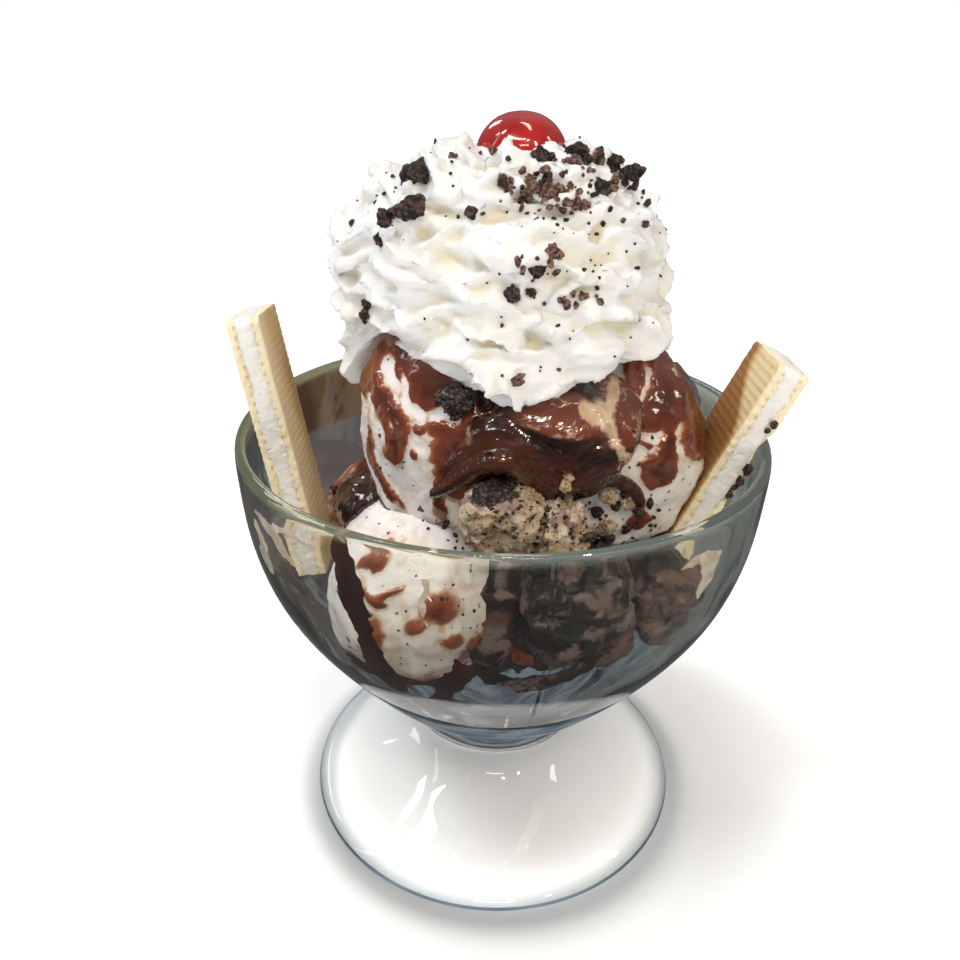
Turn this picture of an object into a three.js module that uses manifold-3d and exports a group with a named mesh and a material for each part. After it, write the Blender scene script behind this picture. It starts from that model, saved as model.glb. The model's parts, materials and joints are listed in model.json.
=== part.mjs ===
// Ice cream sundae in a footed glass bowl: three scoops of cookie-flecked ice cream stand on
// three more and on brownie chunks. Hot fudge, chocolate cookie chunks, a piped dome of whipped
// cream with cookie crumbs and a cherry top them, and two layered wafer fingers lean on the rim.
// Millimetres, +Z up. The origin is the centre of the foot, on the table; -Y is the front.
import * as THREE from "three";
import { mergeVertices } from "three/addons/utils/BufferGeometryUtils.js";
import Module from "manifold-3d";

const wasm = await Module();
wasm.setup();

// ---- Driving dimensions -------------------------------------------------------------------

const CLEARANCE = 0.35; // left between two pieces that touch

const RIM_RADIUS = 65;
const RIM_HEIGHT = 114.8;
const WALL = 2.6; // glass thickness of the bowl's side
const FOOT_RADIUS = 53.1;
const FOOT_RING = 2; // width of the flat ring that the glass stands on
const NECK_RADIUS = 20;
const NECK_HEIGHT = 25.5;
const GLASS_SIDES = 44;
const GLASS_PARTS = { glass_foot: [-1, 27], glass_cup: [27, 72], glass_rim: [72, 120] }; // heights

const WAFER_LENGTH = 66;
const WAFER_WIDTH = 22;
const WAFER_SHEET = 2.2; // thickness of one baked sheet
const WAFER_CREAM = 2.7; // thickness of the filling between the two sheets

const CHERRY_RADIUS = 9;
const DOME_RADIUS = 38.5; // whipped cream, at its widest
const DOME_HALF_HEIGHT = 29.5;
const DOME_CENTRE = new THREE.Vector3(-1, 0, 151.5);
const DOME_TIERS = 4.5; // turns of the piped rope from the top down to the base

// ---- Solids and booleans ------------------------------------------------------------------

/** A closed three.js geometry as a manifold-3d solid. */
function toSolid(geometry) {
  const bare = new THREE.BufferGeometry();
  const flat = geometry.index ? geometry.toNonIndexed() : geometry;
  bare.setAttribute("position", flat.getAttribute("position"));
  const merged = mergeVertices(bare, 1e-4);
  return new wasm.Manifold(
    new wasm.Mesh({
      numProp: 3,
      vertProperties: merged.attributes.position.array,
      triVerts: new Uint32Array(merged.index.array),
    }),
  );
}

/** The largest body of a solid, so that a scrap left by a cut is dropped. */
function mainBody(solid) {
  const bodies = solid.decompose();
  return bodies.reduce((best, body) => (body.volume() > best.volume() ? body : best));
}

/** A solid with others taken away from it. */
function cutBy(solid, ...others) {
  return mainBody(others.flat().reduce((left, other) => left.subtract(other), solid));
}

/** A manifold-3d solid as an indexed three.js geometry. */
function toGeometry(solid) {
  const mesh = solid.getMesh();
  const positions = new Float32Array(mesh.numVert * 3);
  for (let i = 0; i < mesh.numVert; i++) {
    for (let axis = 0; axis < 3; axis++) {
      positions[3 * i + axis] = mesh.vertProperties[mesh.numProp * i + axis];
    }
  }
  const geometry = new THREE.BufferGeometry();
  geometry.setAttribute("position", new THREE.BufferAttribute(positions, 3));
  geometry.setIndex(new THREE.BufferAttribute(new Uint32Array(mesh.triVerts), 1));
  return geometry;
}

// ---- Uneven forms -------------------------------------------------------------------------

/** Smooth unevenness from -1 to 1: three crossed waves, so that no two pieces are alike. */
function unevenness(d, waves, seed) {
  const a = Math.sin(d.x * waves + 1.7 * seed + 1.3 * Math.sin(d.y * waves * 0.8 + seed));
  const b = Math.sin(d.y * waves * 1.1 + 2.3 * seed + 1.1 * Math.sin(d.z * waves * 0.9));
  const c = Math.sin(d.z * waves * 0.95 - 0.9 * seed + 1.2 * Math.sin(d.x * waves * 0.7));
  return (a + b + c) / 3;
}

/**
 * A lump with radii along its own axes. `box` is 2 for an egg and more for squarer sides, and
 * `relief` gives the share by which the surface stands out in a direction. `grow` makes it
 * larger all round, to cut room for it in a neighbour. `ball` makes the unit ball it starts from.
 */
function lump({ centre, radii, turn = [0, 0, 0], box = 2, relief = () => 0, ball }, grow = 0) {
  const geometry = ball();
  const points = geometry.getAttribute("position");
  const [rx, ry, rz] = radii.map((r) => r + grow);
  const rotation = new THREE.Euler(...turn.map(THREE.MathUtils.degToRad));
  const d = new THREE.Vector3();
  for (let i = 0; i < points.count; i++) {
    d.fromBufferAttribute(points, i).normalize();
    const squareness = (Math.abs(d.x) ** box + Math.abs(d.y) ** box + Math.abs(d.z) ** box) ** (-1 / box);
    const reach = squareness * (1 + relief(d));
    d.set(d.x * rx * reach, d.y * ry * reach, d.z * rz * reach);
    d.applyEuler(rotation).add(centre);
    points.setXYZ(i, d.x, d.y, d.z);
  }
  return toSolid(geometry);
}

/** A unit ball with even triangles, finer with more `detail`. */
function evenBall(detail) {
  return () => new THREE.IcosahedronGeometry(1, detail);
}

/** The same lump, and the room that a neighbour leaves for it. */
function lumpWithRoom(form) {
  return { solid: lump(form), room: lump(form, CLEARANCE) };
}

// ---- Glass bowl ---------------------------------------------------------------------------

/** The bowl's outside from the neck to just under the rim. */
const BOWL_OUTSIDE = [
  [NECK_RADIUS, NECK_HEIGHT],
  [NECK_RADIUS + 2.5, 29.5],
  [29.5, 35.5],
  [38.2, 45],
  [49.8, 60],
  [59.2, 76],
  [63.8, 92],
  [RIM_RADIUS, 108],
  [RIM_RADIUS, RIM_HEIGHT - 2],
];
/** Its inside from the middle of the thick bottom up to the rim. */
const BOWL_INSIDE = [
  [0, 35.5],
  [12, 36.2],
  [24, 40],
  [35.6, 47.8],
  [47.3, 61.6],
  [56.6, 77.1],
  [61.2, 92.4],
  [RIM_RADIUS - WALL, 108],
  [RIM_RADIUS - WALL, RIM_HEIGHT - 2],
];
/** The top of the foot from its edge in to the neck, and its hollow underside. */
const FOOT_TOP = [
  [FOOT_RADIUS - 0.4, 2.4],
  [49, 4.8],
  [40, 9],
  [30, 14],
  [23, 19],
  [NECK_RADIUS, NECK_HEIGHT],
];
const FOOT_UNDERSIDE = [
  [0, 19],
  [10, 18],
  [18, 14.5],
  [28, 9.6],
  [40, 4.8],
  [FOOT_RADIUS - 0.8 - FOOT_RING, 0],
];

/** A smooth line through [radius, height] pairs, as points. */
function smooth(pairs, steps) {
  return new THREE.SplineCurve(pairs.map(([r, z]) => new THREE.Vector2(r, z))).getPoints(steps);
}

/** A profile of [radius, height] points turned about the upright axis. */
function turned(profile, sides) {
  const geometry = new THREE.LatheGeometry(profile, sides);
  geometry.rotateX(Math.PI / 2); // the lathe turns about Y; the bowl stands along Z
  return toSolid(geometry);
}

/** The whole glass, from its hollow foot up to the rim and down its inside. */
function footedGlass() {
  const rimArc = new THREE.EllipseCurve(
    RIM_RADIUS - WALL / 2, RIM_HEIGHT - 2, WALL / 2, 2, 0, Math.PI, false);
  const profile = [
    ...smooth(FOOT_UNDERSIDE, 4),
    new THREE.Vector2(FOOT_RADIUS - 0.8, 0),
    new THREE.Vector2(FOOT_RADIUS, 1),
    ...smooth(FOOT_TOP, 4),
    ...smooth(BOWL_OUTSIDE, 9).slice(1, -1),
    ...rimArc.getPoints(3),
    ...smooth([...BOWL_INSIDE].reverse(), 8).slice(1),
  ];
  return turned(profile, GLASS_SIDES);
}

/** One part of the glass, between two heights: simple rings, so that each stays hollow. */
function glassBetween(glass, [from, to]) {
  const wide = RIM_RADIUS + 5;
  const band = turned(
    [
      new THREE.Vector2(0, from + CLEARANCE / 2),
      new THREE.Vector2(wide, from + CLEARANCE / 2),
      new THREE.Vector2(wide, to - CLEARANCE / 2),
      new THREE.Vector2(0, to - CLEARANCE / 2),
    ],
    GLASS_SIDES,
  );
  return glass.intersect(band);
}

/** The room inside the bowl, kept clear of the glass and open far above the rim. */
function bowlRoom() {
  const inside = smooth(BOWL_INSIDE, 8).map(
    (p) => new THREE.Vector2(Math.max(0, p.x - CLEARANCE), p.y + CLEARANCE));
  const open = 120;
  const profile = [
    ...inside,
    new THREE.Vector2(RIM_RADIUS - WALL - CLEARANCE, RIM_HEIGHT + open),
    new THREE.Vector2(0, RIM_HEIGHT + open),
  ];
  return turned(profile, GLASS_SIDES);
}

// ---- Wafer fingers ------------------------------------------------------------------------

/**
 * A finger's place: the middle of its foot, which side of the bowl it is on (-1 left, 1 right)
 * and how many degrees it is swung round its length and leans outwards and backwards.
 */
const LEFT_WAFER = { foot: [-48.4, -5.7, 75.8], side: -1, swing: 5.5, out: 10.9, back: 5.7 };
const RIGHT_WAFER = { foot: [37.2, -8.7, 74.2], side: 1, swing: -1, out: 24.3, back: 2.1 };

/** Moves a geometry made with its length along Z and its thickness along X to its finger. */
function placeOnWafer(geometry, { foot, side, swing, out, back }) {
  geometry.rotateZ(THREE.MathUtils.degToRad(swing));
  geometry.rotateX(THREE.MathUtils.degToRad(-back));
  geometry.rotateY(THREE.MathUtils.degToRad(side * out));
  geometry.translate(...foot);
  return geometry;
}

/** One layer: a slab with slightly crumbled long edges, `bites` deep where it is broken. */
function waferLayer(wafer, from, thickness, width, crumble, bites = () => 0) {
  const steps = 10;
  const outline = new THREE.Shape();
  const half = width / 2;
  const ragged = (t, seed) => crumble * Math.sin(23 * t + seed) * Math.sin(9 * t + 2 * seed);
  const front = [];
  const back = [];
  for (let i = 0; i <= steps; i++) {
    const t = i / steps;
    front.push(new THREE.Vector2(-half + crumble + ragged(t, from) + bites(t), t * WAFER_LENGTH));
    back.push(new THREE.Vector2(half - crumble + ragged(t, from + 2), t * WAFER_LENGTH));
  }
  outline.setFromPoints([...front.reverse(), ...back]);
  const geometry = new THREE.ExtrudeGeometry(outline, { depth: thickness, bevelEnabled: false });
  geometry.rotateX(Math.PI / 2); // length up Z, width along X, thickness towards -Y
  geometry.rotateZ(Math.PI / 2); // width along Y, thickness along X
  geometry.translate(from, 0, 0);
  return placeOnWafer(geometry, wafer);
}

const WAFER_THICKNESS = 2 * WAFER_SHEET + WAFER_CREAM + 2 * CLEARANCE;

/** The three layers of a finger, from the one that faces the rim to the one that faces in. */
function waferFinger(wafer, brokenEdge) {
  const start = -WAFER_THICKNESS / 2;
  const layers = [
    ["sheet", start, WAFER_SHEET, WAFER_WIDTH, 0.35],
    ["cream", start + WAFER_SHEET + CLEARANCE, WAFER_CREAM, WAFER_WIDTH - 0.6, 0.15],
    ["sheet", start + WAFER_SHEET + WAFER_CREAM + 2 * CLEARANCE, WAFER_SHEET, WAFER_WIDTH, 0.35],
  ];
  const outer = wafer.side > 0 ? 2 : 0; // the layers run towards +X
  return layers.map(([kind, from, thickness, width, crumble], i) => {
    const name = kind === "cream" ? "cream" : i === outer ? "outer_sheet" : "inner_sheet";
    const bites = i === outer ? brokenEdge : undefined;
    return [name, toSolid(waferLayer(wafer, from, thickness, width, crumble, bites))];
  });
}

/** The room that the food leaves for a finger. */
function waferRoom(wafer) {
  const grow = 2 * CLEARANCE;
  const slab = new THREE.BoxGeometry(
    WAFER_THICKNESS + grow, WAFER_WIDTH + grow, WAFER_LENGTH + grow);
  slab.translate(0, 0, WAFER_LENGTH / 2);
  return toSolid(placeOnWafer(slab, wafer));
}

// ---- Ice cream ----------------------------------------------------------------------------

/** A scoop: round on top, dragged into soft waves, with the ragged skirt that the scoop leaves. */
function scoopForm(centre, radii, turn, seed, detail) {
  const skirtHeight = -0.55;
  const relief = (d) => {
    const waves = 0.035 * unevenness(d, 4, seed) + 0.012 * unevenness(d, 11, seed + 1);
    const skirt = Math.exp(-(((d.z - skirtHeight) / 0.16) ** 2));
    const around = Math.atan2(d.y, d.x);
    return waves + skirt * (0.06 + 0.03 * Math.sin(5 * around + seed));
  };
  return { centre: new THREE.Vector3(...centre), radii, turn, relief, ball: evenBall(detail) };
}

const SCOOPS = {
  scoop_upper_left: scoopForm([-8.5, -9, 119.5], [25.5, 28, 31], [0, -4, 0], 1.3, 4),
  scoop_upper_right: scoopForm([24, -3, 110.5], [26, 26, 26], [0, 8, 0], 4.1, 4),
  scoop_upper_back: scoopForm([1, 17, 111], [25, 24, 27], [0, 0, 0], 0.6, 3),
  scoop_lower_front: scoopForm([-18.5, -24, 81.5], [22, 23, 24], [0, 10, 0], 2.2, 4),
  scoop_lower_left: scoopForm([-25, 15, 77], [25, 25, 20], [0, 0, 0], 3.7, 3),
  scoop_lower_back: scoopForm([20, 22, 78], [28, 26, 24], [0, 0, 0], 5.6, 3),
};

// ---- Brownie and cookie -------------------------------------------------------------------

/** A torn chunk of brownie, squarish and crumbly. */
function brownieForm(centre, radii, turn, seed) {
  const relief = (d) => 0.05 * unevenness(d, 5, seed) + 0.025 * unevenness(d, 14, seed + 3);
  return { centre: new THREE.Vector3(...centre), radii, turn, relief, box: 4.5, ball: evenBall(2) };
}

/** A broken piece of chocolate cookie: flat faces and sharp, uneven edges. */
function cookieForm(centre, radii, turn, seed) {
  const relief = (d) => 0.12 * unevenness(d, 3.4, seed) + 0.04 * unevenness(d, 9, seed + 2);
  return { centre: new THREE.Vector3(...centre), radii, turn, relief, box: 3.2, ball: evenBall(2) };
}

const BROWNIES = {
  brownie_front: brownieForm([18.5, -28, 79.5], [12.5, 11.5, 15.5], [10, -8, 14], 0.4),
  brownie_right: brownieForm([40, -22, 78.5], [9, 12, 10.5], [-8, 22, -18], 3.3),
  brownie_bottom: brownieForm([3, 1, 55], [21, 16, 14], [4, 6, 30], 6.1),
};
const COOKIES = {
  cookie_chunk_left: cookieForm([0.5, -41, 109.5], [8.8, 6.5, 7.2], [12, 8, -10], 1.1),
  cookie_chunk_right: cookieForm([12.8, -41, 107], [5.8, 5.6, 5.6], [-6, -14, 20], 2.7),
  cookie_chunk_upper: cookieForm([-9.5, -37, 134], [4.6, 3.2, 4.4], [30, 20, -14], 4.4),
  cookie_chunk_wedge: cookieForm([-2.6, -36, 135], [3.4, 2.4, 4.6], [14, 38, 10], 5.2),
};

// ---- Hot fudge ----------------------------------------------------------------------------

/** The pool of fudge that hangs in front, between the two upper scoops, with a rolled edge. */
const FUDGE_FORM = {
  centre: new THREE.Vector3(7.5, -24, 125),
  radii: [24, 18, 12],
  turn: [10, 4, 0],
  box: 2.4,
  ball: evenBall(4),
  relief: (d) => {
    const drips = Math.cos((2 * Math.PI * (d.x - 0.35)) / 1.2);
    return 0.22 * drips * Math.max(0, -d.z) + 0.02 * unevenness(d, 5, 2.4);
  },
};

/** The blob that ran down to the left, on the lower scoop. */
const FUDGE_BLOB_FORM = {
  centre: new THREE.Vector3(-29, -14, 97),
  radii: [10.5, 10, 6.5],
  relief: (d) => 0.05 * unevenness(d, 4, 7.7),
  ball: evenBall(2),
};

// ---- Whipped cream, cherry and crumbs -----------------------------------------------------

const CHERRY_CENTRE = new THREE.Vector3(2.6, 1.5, 176.9);

/** A cherry is a ball that is a little flat, with a dimple where the stalk was. */
function cherry(grow = 0) {
  const radius = CHERRY_RADIUS + grow;
  const steps = 10;
  const profile = [];
  for (let i = 0; i <= steps; i++) {
    const a = -Math.PI / 2 + (Math.PI * i) / steps;
    const dimple = Math.exp(-(((Math.PI / 2 - a) / 0.3) ** 2));
    const ball = new THREE.Vector2(Math.cos(a), 0.94 * Math.sin(a) - 0.16 * dimple);
    profile.push(ball.multiplyScalar(radius));
  }
  profile[0].x = 0;
  profile[steps].x = 0;
  const geometry = new THREE.LatheGeometry(profile, 18);
  geometry.rotateX(Math.PI / 2 + 0.25);
  geometry.translate(...CHERRY_CENTRE.toArray());
  return toSolid(geometry);
}

/** Peaks and hollows of the dome: [azimuth, elevation, height, width], degrees and millimetres. */
const CREAM_PEAKS = [
  [-80, 80, -5, 18],
  [-96, 66, 4, 8],
  [-62, 68, 3.5, 8],
  [160, 62, 3, 16],
  [-86, -36, 8, 16],
  [-132, -24, -10, 18],
  [-176, -40, 6, 13],
];

/** How far the dome reaches in a direction, as a share: a rope piped in tiers, with ruffles. */
function domeRelief(d) {
  const around = Math.atan2(d.y, d.x);
  const fromTop = Math.acos(THREE.MathUtils.clamp(d.z, -1, 1)) / Math.PI;
  const turns = DOME_TIERS * 1.35 * fromTop + around / (2 * Math.PI);
  const acrossRope = 2 * (turns - Math.floor(turns)) - 1;
  const rope = Math.sqrt(Math.max(0, 1 - acrossRope ** 2));
  const ruffle = Math.sin(13 * around + 5 * Math.sin(6 * fromTop * Math.PI));
  let reach = 0.1 * (rope - 0.8) + 0.022 * ruffle * rope + 0.025 * unevenness(d, 3, 1.9);
  for (const [azimuth, elevation, height, width] of CREAM_PEAKS) {
    const peak = directionTo(azimuth, elevation);
    const apart = THREE.MathUtils.radToDeg(peak.angleTo(d));
    reach += (height / DOME_RADIUS) * Math.exp(-((apart / width) ** 2));
  }
  return reach;
}

function directionTo(azimuth, elevation) {
  const a = THREE.MathUtils.degToRad(azimuth);
  const e = THREE.MathUtils.degToRad(elevation);
  return new THREE.Vector3(Math.cos(e) * Math.cos(a), Math.cos(e) * Math.sin(a), Math.sin(e));
}

const DOME_FORM = {
  centre: DOME_CENTRE,
  radii: [DOME_RADIUS, DOME_RADIUS, DOME_HALF_HEIGHT],
  box: 2.25,
  ball: () => new THREE.SphereGeometry(1, 44, 20).rotateX(Math.PI / 2),
  relief: domeRelief,
};

/** The larger crumbs on the dome: [azimuth, elevation, size], degrees and millimetres. */
const CRUMBS = [
  [-131, 49, 7],
  [-121, 35, 7.5],
  [-130, 31, 6],
  [-133, -5, 6],
  [-80, 17, 5.5],
  [-68, 61, 6],
  [-71, 50, 6],
  [-40, 62, 6],
  [-51, 44, 6.5],
  [-13, 55, 7],
  [-21, 45, 8],
  [60, 40, 7],
  [110, 52, 6],
  [160, 30, 6.5],
];

/** The point of the dome's surface in a direction. */
function onDome(d) {
  const { radii, box } = DOME_FORM;
  const squareness = (Math.abs(d.x) ** box + Math.abs(d.y) ** box + Math.abs(d.z) ** box) ** (-1 / box);
  const reach = squareness * (1 + domeRelief(d));
  return new THREE.Vector3(d.x * radii[0], d.y * radii[1], d.z * radii[2])
    .multiplyScalar(reach)
    .add(DOME_CENTRE);
}

function crumb([azimuth, elevation, size], i) {
  const half = size / 2;
  return lump({
    centre: onDome(directionTo(azimuth, elevation)),
    radii: [half, 0.7 * half, 0.85 * half],
    turn: [50 * i, 35 * i, 20 * i],
    relief: (d) => 0.15 * unevenness(d, 4, i),
    ball: evenBall(0),
  });
}

// ---- Putting it together ------------------------------------------------------------------

const MATERIALS = {
  glass: { color: 0xdfe8e6, roughness: 0.05, metalness: 0, transparent: true, opacity: 0.35 },
  wafer: { color: 0xd9b878, roughness: 0.8, metalness: 0 },
  filling: { color: 0xf4efe6, roughness: 0.7, metalness: 0 },
  ice_cream: { color: 0xe8dac6, roughness: 0.45, metalness: 0 },
  brownie: { color: 0x2c1c18, roughness: 0.8, metalness: 0 },
  cookie: { color: 0x2e211d, roughness: 0.85, metalness: 0 },
  fudge: { color: 0x3d160a, roughness: 0.15, metalness: 0 },
  whipped_cream: { color: 0xf5f1e8, roughness: 0.4, metalness: 0 },
  cherry: { color: 0xb80f12, roughness: 0.12, metalness: 0 },
};

const sundae = new THREE.Group();

function addPiece(name, material, solid) {
  const mesh = new THREE.Mesh(toGeometry(solid), new THREE.MeshStandardMaterial(MATERIALS[material]));
  mesh.name = name;
  sundae.add(mesh);
}

const room = bowlRoom();
const glass = footedGlass();
for (const [name, heights] of Object.entries(GLASS_PARTS)) {
  addPiece(name, "glass", glassBetween(glass, heights));
}

// The right finger's outer sheet has lost two bits of its front edge, just above the rim.
const brokenRight = (t) => (t > 0.6 && t < 0.76 ? 3.2 : t > 0.4 && t <= 0.6 ? 1.2 : 0);
const fingers = { left: [LEFT_WAFER, undefined], right: [RIGHT_WAFER, brokenRight] };
for (const [side, [wafer, brokenEdge]] of Object.entries(fingers)) {
  for (const [layer, solid] of waferFinger(wafer, brokenEdge)) {
    addPiece(`wafer_${side}_${layer}`, layer === "cream" ? "filling" : "wafer", solid);
  }
}
const fingerRoom = [waferRoom(LEFT_WAFER), waferRoom(RIGHT_WAFER)];

// Each piece is cut by the ones placed before it, and stays inside the glass.
const placed = [];
function settle(name, material, form) {
  const { solid, room: ownRoom } = lumpWithRoom(form);
  addPiece(name, material, cutBy(solid.intersect(room), fingerRoom, placed));
  placed.push(ownRoom);
}

for (const [name, form] of Object.entries(COOKIES)) settle(name, "cookie", form);
for (const [name, form] of Object.entries(BROWNIES)) settle(name, "brownie", form);
for (const [name, form] of Object.entries(SCOOPS)) settle(name, "ice_cream", form);
settle("hot_fudge", "fudge", FUDGE_FORM);
settle("hot_fudge_blob", "fudge", FUDGE_BLOB_FORM);

addPiece("cherry", "cherry", cherry());
const dome = cutBy(lump(DOME_FORM), placed, cherry(CLEARANCE));
const crumbs = CRUMBS.map(crumb).map((solid) => cutBy(solid, placed));
addPiece("whipped_cream", "whipped_cream", mainBody(crumbs.reduce((all, c) => all.add(c), dome)));

export default sundae;
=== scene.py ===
"""An ice cream sundae in a footed glass: every piece's finish, in the frame of its solids."""
import json
import math
import random

import bpy
import numpy as np
from mathutils import Matrix, Vector, noise
from mathutils.bvhtree import BVHTree

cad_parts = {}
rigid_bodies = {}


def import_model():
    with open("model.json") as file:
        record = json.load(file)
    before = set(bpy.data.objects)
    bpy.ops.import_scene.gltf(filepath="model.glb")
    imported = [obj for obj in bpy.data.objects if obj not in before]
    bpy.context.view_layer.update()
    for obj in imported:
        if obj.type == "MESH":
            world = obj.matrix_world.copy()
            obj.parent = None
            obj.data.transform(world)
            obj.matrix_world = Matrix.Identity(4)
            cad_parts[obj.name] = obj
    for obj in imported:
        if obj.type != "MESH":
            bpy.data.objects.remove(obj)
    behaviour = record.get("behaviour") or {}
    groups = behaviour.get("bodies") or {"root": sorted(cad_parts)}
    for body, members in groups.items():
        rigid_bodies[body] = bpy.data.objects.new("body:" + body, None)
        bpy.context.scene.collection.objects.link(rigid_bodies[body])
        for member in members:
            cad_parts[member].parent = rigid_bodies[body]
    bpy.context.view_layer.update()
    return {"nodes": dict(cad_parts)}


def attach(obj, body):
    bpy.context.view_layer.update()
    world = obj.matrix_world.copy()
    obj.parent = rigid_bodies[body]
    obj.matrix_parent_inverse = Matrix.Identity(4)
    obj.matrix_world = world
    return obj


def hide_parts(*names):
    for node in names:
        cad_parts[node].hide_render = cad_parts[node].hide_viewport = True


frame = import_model()
MM = 0.001

# ---- Footed glass -------------------------------------------------------------------------
# Clear pressed glass in one piece: a wide bowl with a rounded rim, a short solid neck and a
# hollow domed foot. It is drawn up ring by ring from the hollow of the foot, over the rim and
# down the inside, as the glass is pressed round its axis.


def pick(obj):
    """Selects this object alone and makes it the active one."""
    bpy.ops.object.select_all(action="DESELECT")
    obj.select_set(True)
    bpy.context.view_layer.objects.active = obj


def modify(obj, kind, **settings):
    """Adds a modifier with these settings and applies it."""
    pick(obj)
    bpy.ops.object.modifier_add(type=kind)
    modifier = obj.modifiers[-1]
    for name, value in settings.items():
        setattr(modifier, name, value)
    bpy.ops.object.modifier_apply(modifier=modifier.name)


def added(operator, name, **settings):
    """A new primitive mesh with this name, selected alone."""
    bpy.ops.object.select_all(action="DESELECT")
    operator(**settings)
    obj = bpy.context.active_object
    obj.name = name
    return obj


def turned(name, line, fill):
    """A form drawn up ring by ring along [radius, height] pairs. It is left in edit mode."""
    form = added(bpy.ops.mesh.primitive_circle_add, name, vertices=96, radius=line[0][0] * MM,
                 fill_type=fill, location=(0, 0, line[0][1] * MM))
    bpy.ops.object.transform_apply(location=True, rotation=True, scale=True)
    bpy.ops.object.mode_set(mode="EDIT")
    for (r0, z0), (r1, z1) in zip(line, line[1:]):
        bpy.ops.mesh.extrude_region_move(TRANSFORM_OT_translate={"value": (0, 0, (z1 - z0) * MM)})
        bpy.ops.transform.resize(value=(r1 / r0, r1 / r0, 1), center_override=(0, 0, z1 * MM))
    return form


def smooth_line(pairs, pieces):
    """A Catmull-Rom line through [radius, height] pairs, with this many pieces between two."""
    points = np.array([pairs[0], *pairs, pairs[-1]], float)
    line = []
    for a, b, c, d in zip(points, points[1:], points[2:], points[3:]):
        for t in np.arange(pieces) / pieces:
            line.append(0.5 * (2 * b + (c - a) * t + (2 * a - 5 * b + 4 * c - d) * t**2
                               + (3 * b - a - 3 * c + d) * t**3))
    return [tuple(p) for p in line] + [tuple(pairs[-1])]


FOOT_RADIUS = 53
RIM_HEIGHT = 115
FOOT_HOLLOW = [(0.4, 19), (10, 18), (18, 14.5), (28, 9.6), (40, 4.8), (50.3, 0)]
FOOT_TOP = [(52.7, 2.4), (49, 4.8), (40, 9), (30, 14), (23, 19), (20, 25.5)]
BOWL_OUTSIDE = [(20, 25.5), (22.5, 29.5), (29.5, 35.5), (38.2, 45), (49.8, 60), (59.2, 76),
                (63.8, 92), (65, 108), (65, 112.8)]
BOWL_INSIDE = [(62.4, 112.8), (62.4, 108), (61.2, 92.4), (56.6, 77.1), (47.3, 61.6), (35.6, 47.8),
               (24, 40), (12, 36.2), (0.4, 35.5)]
rim_arc = [(63.7 + 1.3 * math.cos(a), 112.8 + 2 * math.sin(a))
           for a in np.radians([30, 60, 90, 120, 150])]
profile = [*smooth_line(FOOT_HOLLOW, 3), (51.4, 0), (52.3, 0), (53, 0.5), (53.1, 1.2),
           *smooth_line(FOOT_TOP, 3), *smooth_line(BOWL_OUTSIDE, 3)[1:], *rim_arc,
           *smooth_line(BOWL_INSIDE, 3)]

glass = turned("footed_glass", profile, "NGON")
bpy.ops.mesh.select_all(action="SELECT")
bpy.ops.mesh.remove_doubles(threshold=1e-7)
bpy.ops.mesh.normals_make_consistent(inside=False)
bpy.ops.object.mode_set(mode="OBJECT")
modify(glass, "SUBSURF", levels=1, render_levels=1)
bpy.ops.object.shade_smooth()


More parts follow.
